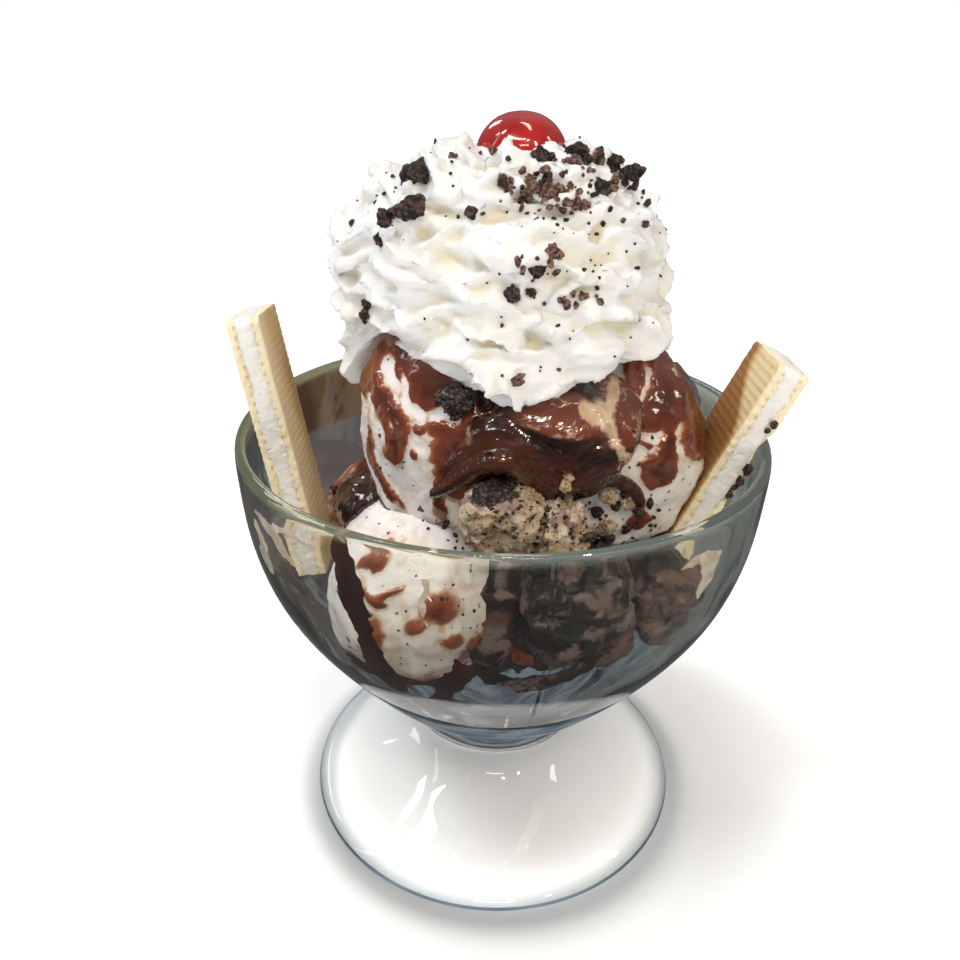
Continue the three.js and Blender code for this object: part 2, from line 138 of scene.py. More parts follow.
class Wire:
    """A socket in a material's nodes. Arithmetic on it adds Math nodes."""

    def __init__(self, tree, socket):
        self.tree, self.socket = tree, socket

    def node(self, kind, settings, inputs, out=0):
        """Any node: its settings first, then the values or wires of its inputs."""
        made = self.tree.nodes.new(kind)
        for name, value in settings.items():
            setattr(made, name, value)
        for name, value in inputs.items():
            if isinstance(value, Wire):
                self.tree.links.new(value.socket, made.inputs[name])
            else:
                made.inputs[name].default_value = value
        return Wire(self.tree, made.outputs[out])

    def math(self, operation, first, second=0.0):
        return self.node("ShaderNodeMath", {"operation": operation}, {0: first, 1: second})

    def __add__(self, other):
        return self.math("ADD", self, other)

    __radd__ = __add__

    def __sub__(self, other):
        return self.math("SUBTRACT", self, other)

    def __rsub__(self, other):
        return self.math("SUBTRACT", other, self)

    def __mul__(self, other):
        return self.math("MULTIPLY", self, other)

    __rmul__ = __mul__

    def over(self, edge, width):
        """0 below the edge and 1 above it, with a soft step of this width."""
        return self.node("ShaderNodeMapRange", {"interpolation_type": "SMOOTHSTEP"},
                         {"Value": self, "From Min": edge - width / 2, "From Max": edge + width / 2})

    def attribute(self, name):
        """The value that each point of the mesh was marked with."""
        return self.node("ShaderNodeAttribute", {"attribute_name": name}, {}, out="Fac")

    def part(self, axis):
        """How far a place lies along this axis."""
        return self.node("ShaderNodeSeparateXYZ", {}, {0: self}, out=axis)

    def ramp(self, stops, last=None):
        """The colour at this value between (value, colour) stops, which are in mm if a last is given."""
        made = self if last is None else self * (1 / (last * MM))
        made = made.node("ShaderNodeValToRGB", {}, {0: made})
        marks = made.socket.node.color_ramp.elements
        marks.remove(marks[1])
        for number, (value, colour) in enumerate(stops):
            spot = value / (last or 1)
            stop = marks.new(spot) if number else marks[0]
            stop.position, stop.color = spot, (*colour, 1)
        return made

    def noise(self, size, detail=2.0, distortion=0.0, roughness=0.5):
        """Noise from 0 to 1 with features of about this size in mm; self is a place."""
        return self.node("ShaderNodeTexNoise", {}, {
            "Vector": self, "Scale": 1 / (size * MM), "Detail": detail, "Distortion": distortion,
            "Roughness": roughness})

    def blend(self, low, high):
        """From one colour to the other as self goes from 0 to 1."""
        return self.node("ShaderNodeMix", {"data_type": "RGBA"}, {
            0: self, 6: low if isinstance(low, Wire) else (*low, 1),
            7: high if isinstance(high, Wire) else (*high, 1)}, out=2)

    def flecks(self, spacing, radius, share, ragged=0.12):
        """1 inside scattered flecks: a share of the cells of this spacing in mm holds one."""
        bent = self.node("ShaderNodeVectorMath", {"operation": "MULTIPLY_ADD"}, {
            0: self.node("ShaderNodeTexNoise", {}, {"Vector": self, "Scale": 2.2 / (spacing * MM)}, out=1),
            1: (ragged * 4 * spacing * MM,) * 3, 2: self})
        cells = {"Vector": bent, "Scale": 1 / (spacing * MM)}
        near = self.node("ShaderNodeTexVoronoi", {}, cells)
        lot = self.node("ShaderNodeTexVoronoi", {}, cells, out=1)
        chosen = self.node("ShaderNodeSeparateColor", {}, {0: lot})
        return (1 - near.over(radius / spacing, 0.08)) * (1 - chosen.over(share, 0.02))

    def into(self, shader, name):
        """Feeds one of the shader's inputs."""
        self.tree.links.new(self.socket, shader.inputs[name])

    def bump(self, shader, height):
        """Feeds the shader's normal with this height in mm."""
        self.node("ShaderNodeBump", {}, {"Height": self, "Distance": height * MM, "Strength": 1.0}).into(
            shader, "Normal")


def finish(name, fixed):
    """A new material: its shader with these fixed values, and a wire of the piece's own places."""
    made = bpy.data.materials.new(name)
    made.use_nodes = True
    shader = made.node_tree.nodes["Principled BSDF"]
    for socket, value in fixed.items():
        shader.inputs[socket].default_value = value
    place = Wire(made.node_tree, None).node("ShaderNodeTexCoord", {}, {}, out="Object")
    return made, shader, place


glass_finish, shader, place = finish("clear_glass", {
    "Roughness": 0.0, "IOR": 1.5, "Transmission Weight": 1.0, "Emission Strength": 1.0})
height = place.part("Z")
across = place.node("ShaderNodeVectorMath", {"operation": "MULTIPLY"}, {0: place, 1: (1, 1, 0)})
across = across.node("ShaderNodeVectorMath", {"operation": "LENGTH"}, {0: across}, out="Value")
# The tint of the foot by its radius and of the bowl by its height: darker where glass is thick, and with
# painted shade.
# Painted shade: the middle of the foot is darker, as under the bowl's shadow, and its rounded edge is dark.
FOOT_TINTS_AND_PAINTED_SHADE = [
    (0, (0.64, 0.63, 0.62)), (19, (0.66, 0.65, 0.64)), (28, (0.68, 0.68, 0.675)),
    (38, (0.75, 0.75, 0.745)), (46, (0.82, 0.82, 0.815)), (50.3, (0.86, 0.86, 0.855)),
    (51.8, (0.66, 0.69, 0.70)), (FOOT_RADIUS, (0.40, 0.44, 0.47))]
# Partly the thick glass's tint, partly painted shade: the neck and the bowl's bottom are dark.
BOWL_TINTS_AND_PAINTED_SHADE = [
    (25, (0.42, 0.46, 0.48)), (28, (0.30, 0.34, 0.36)), (35, (0.34, 0.39, 0.42)),
    (38, (0.48, 0.54, 0.57)), (46, (0.58, 0.64, 0.66)), (60, (0.90, 0.92, 0.905)),
    (110, (0.92, 0.94, 0.925))]
foot = across.ramp(FOOT_TINTS_AND_PAINTED_SHADE, FOOT_RADIUS)
bowl_tint_and_shade = height.ramp(BOWL_TINTS_AND_PAINTED_SHADE, RIM_HEIGHT)
height.over(0.0256, 0.002).blend(foot, bowl_tint_and_shade).into(shader, "Base Color")
# Painted light: the rim glows grey-green, yellower at the left as a painted reflection of the wafer.
painted_rim_glow = place.part("X").over(-0.01, 0.05).blend((0.112, 0.122, 0.076), (0.090, 0.102, 0.090))
edges = height.over(0.1128, 0.0025).blend((0, 0, 0), painted_rim_glow)
# Painted light: the foot's edge glows faintly blue-grey.
(1 - height.over(0.0028, 0.003)).blend(edges, (0.05, 0.06, 0.07)).into(shader, "Emission Color")
# The mould's two halves met along a fine seam, a little to the right of the middle.
seam = 0.987 * place.part("X") + 0.158 * place.part("Y")
seam = 1 - seam.math("ABSOLUTE", seam).over(0.0004, 0.0006)
(place.noise(26, detail=1.0) + 0.12 * seam * height.over(0.03, 0.01)).bump(shader, 0.35)
glass.data.materials.append(glass_finish)
glass.visible_shadow = False
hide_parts("glass_foot", "glass_cup", "glass_rim")
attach(glass, "root")

# ---- Brownie chunks -----------------------------------------------------------------------
# Dark, moist cake torn into chunks and packed between the scoops and the glass, where its
# crumb is pressed flat. Each starts from its solid, is remeshed finely and gets its torn crumb.


def linked(name, data):
    """A new object with this data, in the scene."""
    obj = bpy.data.objects.new(name, data)
    bpy.context.scene.collection.objects.link(obj)
    return obj


def remade(name, node, voxel, soften=4):
    """A copy of a solid, remeshed into small even faces and softened, ready for sculpting."""
    obj = linked(name, frame["nodes"][node].data.copy())
    obj.data.materials.clear()
    pick(obj)
    bpy.ops.object.mode_set(mode="EDIT")
    bpy.ops.mesh.select_all(action="SELECT")
    bpy.ops.mesh.remove_doubles(threshold=1e-6)
    bpy.ops.object.mode_set(mode="OBJECT")
    modify(obj, "REMESH", mode="VOXEL", voxel_size=voxel * MM)
    modify(obj, "SMOOTH", factor=0.5, iterations=soften)
    bpy.ops.object.shade_smooth()
    return obj


def all_points(obj, what="co"):
    """The places of the mesh's points in metres, or their normals."""
    values = np.empty(3 * len(obj.data.vertices))
    obj.data.vertices.foreach_get(what, values)
    return values.reshape(-1, 3)


def sculpt(obj, move):
    """Moves the mesh's points to where `move` puts them, from their places and normals in mm."""
    moved = move(all_points(obj) / MM, all_points(obj, "normal"))
    obj.data.vertices.foreach_set("co", (moved * MM).ravel())
    obj.data.update()


def uneven(points, size, seed=0.0, octaves=3):
    """Smooth unevenness of about -1 to 1, with lumps of this size in mm."""
    at = points / size + np.array([11.3, 5.7, -8.1]) * (seed + 1)
    return np.array([noise.fractal(p, 1.0, 2.0, octaves) for p in at.tolist()])


def cells(points, size, seed=0.0):
    """Distance to the nearest of scattered seeds, as a share of their spacing in mm."""
    at = points / size + np.array([3.1, -7.7, 5.9]) * (seed + 1)
    return np.array([noise.voronoi(p)[0][0] for p in at.tolist()])


def blocks(points, size, seed=0.0):
    """A height of about -1 to 1 that is the same over each torn-off lump of this size in mm."""
    at = points / size + np.array([6.1, -2.3, 4.4]) * (seed + 1) + 0.25 * uneven(points, size, seed)[:, None]
    return np.array([noise.noise(Vector(noise.voronoi(p)[1][0]) * 3.7) for p in at.tolist()]) * 1.6


def step(value, low, high):
    """0 below low and 1 above high, with a soft step between them."""
    t = np.clip((value - low) / (high - low), 0, 1)
    return t * t * (3 - 2 * t)


GLASS_INSIDE = np.array(sorted(smooth_line(BOWL_INSIDE, 6), key=lambda p: p[1]))
NEAR_WALL = 1.6
PRESSED_BELOW = RIM_HEIGHT - 4


def pressed(points, into=0.3):
    """Points near the glass are pressed this far into its inner wall, so that no air is left."""
    across = np.hypot(points[:, 0], points[:, 1])
    wall = np.interp(points[:, 2], GLASS_INSIDE[:, 1], GLASS_INSIDE[:, 0])
    inside = points[:, 2] < PRESSED_BELOW
    touch = step(across, wall - NEAR_WALL, wall - 0.4 * NEAR_WALL) * inside
    reach = across + touch * (wall + into - across)
    reach = np.where(inside, np.minimum(reach, wall + into), reach)
    moved = points.copy()
    moved[:, :2] *= (reach / np.maximum(across, 1e-6))[:, None]
    return moved


brownie_finish, shader, place = finish("brownie", {
    "Roughness": 0.62, "Coat Weight": 0.25, "Coat Roughness": 0.3})
crumb_tone = place.noise(2.6, detail=5.0, roughness=0.65)
greasy = place.noise(10, detail=3.0, distortion=1.6)
patches = greasy.over(0.56, 0.10).blend((0.022, 0.012, 0.010), (0.185, 0.136, 0.125))
patches = place.noise(17, detail=1.0).over(0.56, 0.12).blend(patches, (0.085, 0.036, 0.026))
# The chunk at the right is lighter and redder.
right_side = place.part("X").over(0.026, 0.014)
patches = (right_side * place.noise(8, detail=3.0).over(0.46, 0.2)).blend(patches, (0.135, 0.066, 0.048))
(0.6 * crumb_tone + 0.4 * greasy + 0.05 * right_side).over(0.5, 0.12).blend(
    (0.003, 0.0025, 0.003), patches).into(shader, "Base Color")
crumb_tone.bump(shader, 0.9)
for number, node in enumerate(["brownie_front", "brownie_right", "brownie_bottom"]):
    chunk = remade(node + "_cake", node, voxel=0.8, soften=2)

    def crumbly(points, normals):
        torn = (1.0 * uneven(points, 7, number, 4) + 1.5 * blocks(points, 5, number)
                - 1.3 * cells(points, 4.6, number) + 0.5)
        return pressed(points + normals * torn[:, None])

    sculpt(chunk, crumbly)
    chunk.data.materials.append(brownie_finish)
    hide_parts(node)
    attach(chunk, "root")

# ---- Scoops of ice cream ------------------------------------------------------------------
# Soft ice cream full of fine cookie flecks, dragged into folds by the scoop and melting. Hot
# fudge has run over it: where it lies thick it stands proud and glossy, and where it is thin
# the cream shows through in tan streaks.


def mark(obj, name, values):
    """Keeps a value for each point of the mesh, for its material to read."""
    attribute = obj.data.attributes.new(name, "FLOAT", "POINT")
    attribute.data.foreach_set("value", values.astype(np.float32))


def within(points, spots):
    """Above 0 inside any spot: [x, z, half width, half height, tilt], as seen from the front."""
    best = np.full(len(points), -3.0)
    for x, z, width, height, tilt in spots:
        a = math.radians(tilt)
        dx, dz = points[:, 0] - x, points[:, 2] - z
        u = (dx * math.cos(a) + dz * math.sin(a)) / width
        v = (dz * math.cos(a) - dx * math.sin(a)) / height
        best = np.maximum(best, 1 - np.hypot(u, v))
    return best


def near_run(points, runs):
    """Above 0 along the runs: lines of [x, z, half width], as seen from the front."""
    best = np.full(len(points), -9.0)
    for run in runs:
        for (x0, z0, w0), (x1, z1, w1) in zip(run, run[1:]):
            dx, dz = x1 - x0, z1 - z0
            t = np.clip(((points[:, 0] - x0) * dx + (points[:, 2] - z0) * dz) / (dx * dx + dz * dz), 0, 1)
            away = np.hypot(points[:, 0] - x0 - t * dx, points[:, 2] - z0 - t * dz)
            best = np.maximum(best, w0 + t * (w1 - w0) - away)
    return best


# Where the ice cream shows through the fudge, as white islands and streaks.
BARE = {
    "scoop_upper_left": [
        [(-25.2, 137, 1.2), (-24.4, 134, 2.0), (-22.5, 132.8, 1.4)],
        [(-20.6, 135, 0.8), (-20.2, 131, 1.3), (-18, 130, 2)],
        [(-28.6, 128, 0.8), (-27.6, 121, 1.2), (-26.5, 115, 1.2)],
        [(-15, 130.2, 1.0), (-12, 131, 1.4), (-9.5, 129, 1.0)], [(-21, 141.5, 0.4), (-18.6, 138.5, 0.6)]],
    "scoop_upper_right": [
        [(25.0, 136, 1.0), (25.3, 133, 1.2), (23.5, 126.4, 1.3), (25.5, 118.2, 1.5), (29.8, 114.9, 2.0)],
        [(28.6, 128, 0.5), (30.5, 122.5, 0.9), (34.5, 121.5, 1.0)], [(31.5, 133.5, 0.6), (31, 128, 0.7)]],
}

# How fudge lies on each scoop: spots in front, and how much of the hidden side it covers.
FUDGE_ON = {
    "scoop_upper_left": ([
        [-21, 140, 6.5, 10, 20], [-19.5, 137, 5.5, 9, 20], [-26.5, 138.5, 4.5, 6, 10],
        [-30, 132, 3, 5, 0], [-14, 134, 8, 5.5, -30], [-25.5, 131, 2.2, 5, 0],
        [-23.5, 128.5, 5, 2.6, -35], [-11, 129.5, 6, 5, 0], [-27, 124.5, 2.2, 6.5, -8],
        [-17.5, 127, 1.7, 1.5, 0], [-18, 121.3, 1.3, 1.5, 0], [-23.3, 121, 2.4, 5.2, -12],
        [-29.2, 118, 1.2, 4.6, 0], [-27.5, 111, 1.7, 7, 25], [-8, 121, 6.5, 12, 0],
        [-24, 107, 1.6, 4.5, 35], [-13.2, 110, 1.3, 7, 0], [-5, 133, 6, 6, 0]], 0.12),
    "scoop_upper_right": ([
        [24.5, 130.5, 5, 2.6, 10], [25, 134.2, 4, 2, 0], [35.5, 128, 5.5, 7.5, 22],
        [42, 126.5, 6.5, 4, -35], [46, 119.5, 5.5, 7, 0], [33, 123, 4, 3.2, 30],
        [31, 133, 3, 4, 0], [35.3, 114.8, 5.2, 4.2, -30],
        [37, 119, 2.2, 4, 10], [21, 122, 3.6, 4.2, 0], [32.9, 101.5, 2.6, 3, 0],
        [16, 126, 6, 8, 0], [27.8, 121, 1.2, 1.2, 0]], 0.1),
    "scoop_upper_back": ([], 0.02),
    "scoop_lower_front": ([
        [-26.5, 97, 6, 1.5, 38], [-23, 92.5, 5, 1.2, 30], [-26, 90, 3.4, 1.3, -30],
        [-12.5, 89.5, 4.4, 4.2, 10], [-16.5, 85, 3.0, 2.2, -20], [-9.6, 80, 2.6, 2.4, 0],
        [-27, 82, 3, 4.5, 8], [-20, 69, 10, 3, -12], [-4, 74, 4, 6, 0]], 0.0),
    "scoop_lower_left": ([[-34, 96, 7, 8, 0], [-26, 98, 5, 3, 0]], 0.12),
    "scoop_lower_back": ([], 0.04),
}

cream_ice, shader, place = finish("ice_cream", {
    "Subsurface Weight": 0.25, "Subsurface Radius": (1.0, 0.7, 0.5), "Subsurface Scale": 0.002,
    "Coat Roughness": 0.06})
fudge = place.attribute("fudge") + 0.16 * (place.noise(2.6, detail=2.0) - 0.5)
covered = fudge.over(0.0, 0.09)
streaks = place.noise(11, detail=3.0, distortion=2.2).over(0.57, 0.16)
near_fudge = fudge.over(-0.16, 0.36)
pale = (0.9 * streaks * (0.3 + near_fudge)).blend((0.90, 0.855, 0.83), (0.62, 0.38, 0.22))
pale = (near_fudge * 0.4).blend(pale, (0.70, 0.48, 0.34))
pale = place.flecks(1.9, 0.36, 0.4).blend(pale, (0.06, 0.045, 0.04))
pale = place.flecks(5.2, 0.95, 0.3, ragged=0.2).blend(pale, (0.022, 0.015, 0.013))
brown = (fudge + 0.25 * (place.noise(5, detail=2.0) - 0.5)).ramp([
    (0.0, (0.47, 0.22, 0.12)), (0.06, (0.30, 0.085, 0.038)), (0.2, (0.185, 0.039, 0.016)),
    (0.8, (0.080, 0.016, 0.007))])
covered.blend(pale, brown).into(shader, "Base Color")
(0.42 - 0.3 * covered).into(shader, "Roughness")
(0.15 + 0.85 * covered).into(shader, "Coat Weight")
((1 - covered) * place.noise(1.3, detail=3.0)).bump(shader, 0.22)

for number, (node, (spots, hidden)) in enumerate(FUDGE_ON.items()):
    scoop = remade(node.replace("scoop", "ice_cream"), node, voxel=0.75)
    kept = {}

    def scooped(points, normals):
        # Fudge lies where the field is above 0: in spots in front, as drips on the hidden side.
        bent = points + 1.9 * np.stack([uneven(points, 8, s, 3) for s in (31, 32, 33)], axis=1)
        field = within(bent, spots) + 0.10 * uneven(points, 3, number)
        field = np.minimum(field, -0.35 * near_run(bent, BARE.get(node, [])))
        if node == "scoop_lower_front":
            field = np.where(field > 0, 0.22, 0.7) * field - 0.02
        front = step(-normals[:, 1], -0.45, -0.1)
        drips = uneven(points * (1, 1, 0.45), 9, number + 20) - 0.55 + 2 * hidden
        drips = np.clip(2.5 * drips, -1, 0.6) if hidden else -1
        field = field * front + drips * (1 - front)
        if node == "scoop_lower_left":
            field = np.maximum(field, 0.04 + 0.10 * uneven(points, 5, 44))
        kept["fudge"] = field
        folds = (0.8 * uneven(points * (1, 1, 1.7), 9, number, 3) + 0.3 * uneven(points, 3, number + 5, 3)
                 + 0.9 * uneven(points * (1, 1, 0.35), 8, number + 40, 2))
        coat = 0.9 * step(field, -0.02, 0.16)
        return pressed(points + normals * (0.6 * folds + coat)[:, None])

    sculpt(scoop, scooped)
    mark(scoop, "fudge", kept["fudge"])
    scoop.data.materials.append(cream_ice)
    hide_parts(node)
    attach(scoop, "root")

# ---- Smears on the glass ------------------------------------------------------------------
# Hot fudge and melted ice cream that ran down the inside of the bowl in front. Each is a film
# about a millimetre thick that clings to the wall, drawn along its run and given round edges.

# The part of the wall that the films may cover, in degrees from the front and in mm of height.
FILM_TURNS = (-62, 50)
FILM_HEIGHTS = (38, 112.5)
FILM_THICKNESS = 1.1


def smear(name, runs, material, into=0.3):
    """A film on the inside of the bowl that covers these runs, pressed this far into its wall."""
    film = added(bpy.ops.mesh.primitive_grid_add, name, x_subdivisions=300, y_subdivisions=190, size=1)
    kept = {}

    def onto_wall(points, normals):
        turn = np.radians(np.interp(points[:, 0] * MM, (-0.5, 0.5), FILM_TURNS))
        z = np.interp(points[:, 1] * MM, (-0.5, 0.5), FILM_HEIGHTS)
        radius = np.interp(z, GLASS_INSIDE[:, 1], GLASS_INSIDE[:, 0]) + 0.15
        placed = np.stack([radius * np.sin(turn), -radius * np.cos(turn), z], axis=1)
        bent = placed + 1.1 * np.stack([uneven(placed, 6, s, 3) for s in (1, 2, 3)], axis=1)
        kept["field"] = near_run(bent, runs) + 0.8 * uneven(placed, 4, 8, 3)
        return placed

    sculpt(film, onto_wall)
    pick(film)
    bpy.ops.object.mode_set(mode="EDIT")
    bpy.ops.mesh.select_all(action="DESELECT")
    bpy.ops.object.mode_set(mode="OBJECT")
    film.data.vertices.foreach_set("select", kept["field"] < 0)
    bpy.ops.object.mode_set(mode="EDIT")
    bpy.ops.mesh.delete(type="VERT")
    bpy.ops.mesh.select_all(action="SELECT")
    bpy.ops.mesh.normals_make_consistent(inside=False)
    bpy.ops.object.mode_set(mode="OBJECT")
    modify(film, "SOLIDIFY", thickness=FILM_THICKNESS * MM, offset=0)
    modify(film, "REMESH", mode="VOXEL", voxel_size=0.4 * MM)
    modify(film, "SMOOTH", factor=0.5, iterations=5)
    sculpt(film, lambda points, normals: pressed(points, into=into))
    bpy.ops.object.shade_smooth()
    film.data.materials.append(material)
    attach(film, "root")


film_finish, shader, place = finish("fudge_film", {
    "Coat Weight": 0.5, "Coat Roughness": 0.05, "Roughness": 0.25})
place.noise(6, detail=3.0, distortion=1.0).over(0.5, 0.3).blend(
    (0.012, 0.004, 0.003), (0.045, 0.013, 0.008)).into(shader, "Base Color")
place.noise(4, detail=1.0).bump(shader, 0.12)
smear("fudge_on_glass", [
    [(-30.3, 111, 2.0), (-29.4, 104, 2.9), (-28.5, 98, 3.0), (-26.3, 89.5, 2.3), (-24, 80.5, 2.8),
     (-20.5, 75, 3.0)],
    [(-31, 74, 1.2), (-28.6, 68.4, 1.8), (-21.7, 68.1, 2.0), (-15.6, 69.3, 1.9), (-11.5, 70.2, 1.6)],
    [(-6.8, 87.8, 1.2), (-7.9, 81.7, 1.7), (-10, 74.5, 2.2), (-12.1, 69, 2.6)],
    [(-3.5, 87, 1.6), (-8.3, 81.5, 2.4), (-10.1, 73.5, 2.2), (-6.2, 71.5, 1.2)],
    [(-20, 77, 1.8), (-13, 79, 1.5), (-8.3, 81.5, 1.8)], [(3.6, 89.8, 1.5), (8, 86.8, 2.3)],
    [(14, 71, 0.8), (17, 70.2, 0.8)], [(-31, 81, 0.9), (-26, 77, 1.4)],
    [(-20, 67, 1.8), (-16, 61, 2.4), (-12.5, 55, 1.2)], [(-9.5, 67, 1.6), (-7, 60, 1.2)]],
    film_finish)
smear("brownie_on_glass", [
    [(2.4, 113, 2.6), (0.9, 106, 3.8), (0.8, 100, 2.8), (-0.6, 94, 3.9), (-1.6, 88, 2.6), (-1.5, 84, 2.8)],
    [(-1, 84.5, 1.8), (5, 81, 2.2), (11.4, 81.5, 2.6), (16.4, 85, 2.2), (22, 89, 1.2)],
    [(8, 95, 1.6), (13, 90, 2.6), (18, 92, 1.4)]], brownie_finish)
drop_finish, shader, place = finish("fudge_drop", {
    "Coat Weight": 1.0, "Coat Roughness": 0.03, "Roughness": 0.2})
place.noise(3, detail=2.0).over(0.5, 0.4).blend((0.09, 0.022, 0.013), (0.19, 0.055, 0.034)).into(
    shader, "Base Color")
place.noise(5, detail=1.0).bump(shader, 0.2)
smear("fudge_drop_on_glass", [[(2.8, 93.0, 1.0), (4.4, 90.6, 1.9), (5.7, 88.4, 1.8), (6.6, 86.6, 0.9)]],
      drop_finish, into=0.6)
melted_finish, shader, place = finish("melted_ice_cream", {
    "Roughness": 0.35, "Subsurface Weight": 0.3, "Subsurface Scale": 0.0015})
place.noise(7, detail=3.0, distortion=1.5).over(0.5, 0.3).blend(
    (0.76, 0.69, 0.58), (0.58, 0.42, 0.28)).into(shader, "Base Color")
place.noise(3, detail=2.0).bump(shader, 0.15)
smear("ice_cream_on_glass", [
    [(36, 106, 0.9), (40.5, 106.5, 1.8), (42.8, 104.5, 2.4), (42.2, 100, 2.0), (41, 96.5, 0.9)],
    [(-52.5, 107, 0.9), (-50.1, 107, 1.4), (-48.1, 106, 1.6), (-46, 104, 1.7), (-43.7, 102.3, 1.4),
     (-41.1, 101, 0.9)],
    [(-46, 107.5, 0.9), (-41, 107.6, 1.2), (-36.6, 107.7, 0.7)],
    [(-52, 104, 0.9), (-50.5, 97, 1.1), (-49, 92, 0.6)], [(-13, 108, 0.7), (-14, 101, 1.0), (-13, 94, 0.6)]],
    melted_finish)

# ---- Cookie chunks ------------------------------------------------------------------------
# Broken chocolate sandwich cookies. The two in front are mashed into ice cream, so their torn
# faces are beige and full of dark crumbs; the two under the whipped cream are dry and black.

cookie_finish, shader, place = finish("cookie", {"Roughness": 0.8})
beige = (place.noise(2.2, detail=4.0, roughness=0.7) + 0.5 * (place.attribute("mash") - 0.5)).over(0.52, 0.12)
grains = place.noise(0.7, detail=3.0).over(0.55, 0.2)
black = grains.blend((0.010, 0.007, 0.007), (0.115, 0.080, 0.068))
tan = place.noise(5, detail=2.0).over(0.54, 0.3).blend((0.60, 0.49, 0.36), (0.46, 0.31, 0.18))
tan = place.noise(6, detail=3.0, distortion=1.0).over(0.56, 0.16).blend(tan, (0.30, 0.20, 0.17))
tan = place.flecks(0.85, 0.23, 0.7, ragged=0.2).blend(tan, (0.11, 0.060, 0.045))
tan = place.flecks(2.0, 0.48, 0.35, ragged=0.3).blend(tan, (0.04, 0.025, 0.022))
beige.blend(black, tan).into(shader, "Base Color")
place.noise(0.8, detail=4.0).bump(shader, 0.5)
for number, (node, pale_share) in enumerate({
        "cookie_chunk_left": 0.95, "cookie_chunk_right": 0.85, "cookie_chunk_upper": 0.25,
        "cookie_chunk_wedge": 0.0}.items()):
    chunk = remade(node + "_broken", node, voxel=0.42, soften=1)
    kept = {}

    def broken(points, normals):
        dry = pale_share < 0.5
        torn = (0.6 * uneven(points, 4, number + 3, 4) + (1.8 if dry else 1.3) * blocks(points, 3.4, number)
                + 0.6 * blocks(points, 1.6, number + 9) - 0.7 * cells(points, 2.2, number)
                - (0.9 if dry else -0.3))
        top = points[:, 2].max()
        # The palest chunk has a black ledge along its top.
        ledge = points[:, 2] + 1.6 * uneven(points, 3, 12) - 0.25 * np.abs(points[:, 0] + 2)
        kept["mash"] = pale_share - 0.9 * step(ledge, top - 3.4, top - 2.4) * (pale_share > 0.9)
        moved = points + normals * torn[:, None]
        if node == "cookie_chunk_upper":
            moved[:, 2] = top - 1.2 + 0.8 * (moved[:, 2] - top)
        return pressed(moved)

    sculpt(chunk, broken)
    mark(chunk, "mash", kept["mash"])
    chunk.data.materials.append(cookie_finish)
    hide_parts(node)
    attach(chunk, "root")

# ---- Hot fudge ----------------------------------------------------------------------------
# Thick, dark and very glossy. It hangs in front between the two upper scoops and has rolled
# itself into ripples and a fat lip along its lower edge; a blob of it ran down to the left.

fudge_finish, shader, place = finish("hot_fudge", {"Coat Weight": 1.0, "Coat Roughness": 0.02, "IOR": 1.38})
tone = place.noise(9, detail=2.0, distortion=1.0)
dark = tone.over(0.5, 0.3).blend((0.010, 0.0026, 0.0015), (0.048, 0.010, 0.0046))
# Painted light: the lip and the roll above it are coloured lighter and redder, as where light catches them.
dark = (0.35 * place.attribute("painted_ridge_light")).blend(dark, (0.120, 0.030, 0.0145))
marbled = place.noise(4.5, detail=3.0, distortion=2.0).over(0.63, 0.16).blend(
    (0.150, 0.036, 0.018), (0.42, 0.25, 0.16))
dark = (place.attribute("thin") + 0.5 * (tone - 0.5)).over(0.45, 0.5).blend(dark, marbled)
drawn = place.noise(5, detail=3.0, distortion=1.8)
pale = drawn.over(0.5, 0.5).blend((0.66, 0.50, 0.34), (0.50, 0.31, 0.18))
(place.attribute("milky") + 1.3 * (drawn - 0.5)).over(0.55, 0.4).blend(dark, pale).into(shader, "Base Color")
(0.10 + 0.10 * tone).into(shader, "Roughness")
lumps = 2.6 * place.attribute("lumpy") * place.noise(1.1, detail=1.0)
(place.noise(3.2, detail=1.0) + lumps).bump(shader, 0.13)

# Where the front of the sundae is looked at from: runs and crumbs are laid along its lines of sight.
EYE = Vector((0, -194.2, 196.4))


def on_top(carriers):
    """A function that finds where a line of sight meets these pieces: a place in mm, its normal."""
    corners, faces = [], []
    for obj in carriers:
        start = len(corners)
        corners += [v.co / MM for v in obj.data.vertices]
        faces += [[start + i for i in face.vertices] for face in obj.data.polygons]
    tree = BVHTree.FromPolygons(corners, faces)

    def met(origin, through):
        hit, normal, _, _ = tree.ray_cast(origin, (through - origin).normalized())
        return hit, normal

    return met


# The rolled lip and the softer roll above it: [x, z, thickness] as seen in the plane y = FRONT.
LIP = [(-14.0, 114.6, 1.1), (-12.4, 115.8, 1.8), (-7.4, 119.8, 2.2), (-3.8, 122.1, 2.2), (-0.2, 123.2, 2.2),
       (2.1, 122.3, 2.2), (6.2, 119.3, 2.3), (10.2, 116.7, 2.4), (13.3, 114.9, 2.4), (15.9, 115.7, 2.2),
       (18.5, 117.6, 2.0), (21.7, 119.0, 1.9), (24.9, 119.0, 1.9), (28.2, 116.2, 1.7), (29.0, 113.4, 1.5),
       (27.5, 111.6, 1.1)]
ROLL = [(-12.5, 119.7, 0.8), (-8.1, 123.9, 1.5), (-2.2, 126.8, 1.7), (3, 126.0, 1.7), (6.7, 123.6, 1.5),
        (10.5, 121.2, 0.9)]
FRONT = -41

pool = remade("hot_fudge_pool", "hot_fudge", voxel=0.6, soften=6)


def joined(pieces):
    """Joins these meshes into the first of them."""
    pick(pieces[0])
    for piece in pieces[1:]:
        piece.select_set(True)
    bpy.ops.object.join()
    return pieces[0]


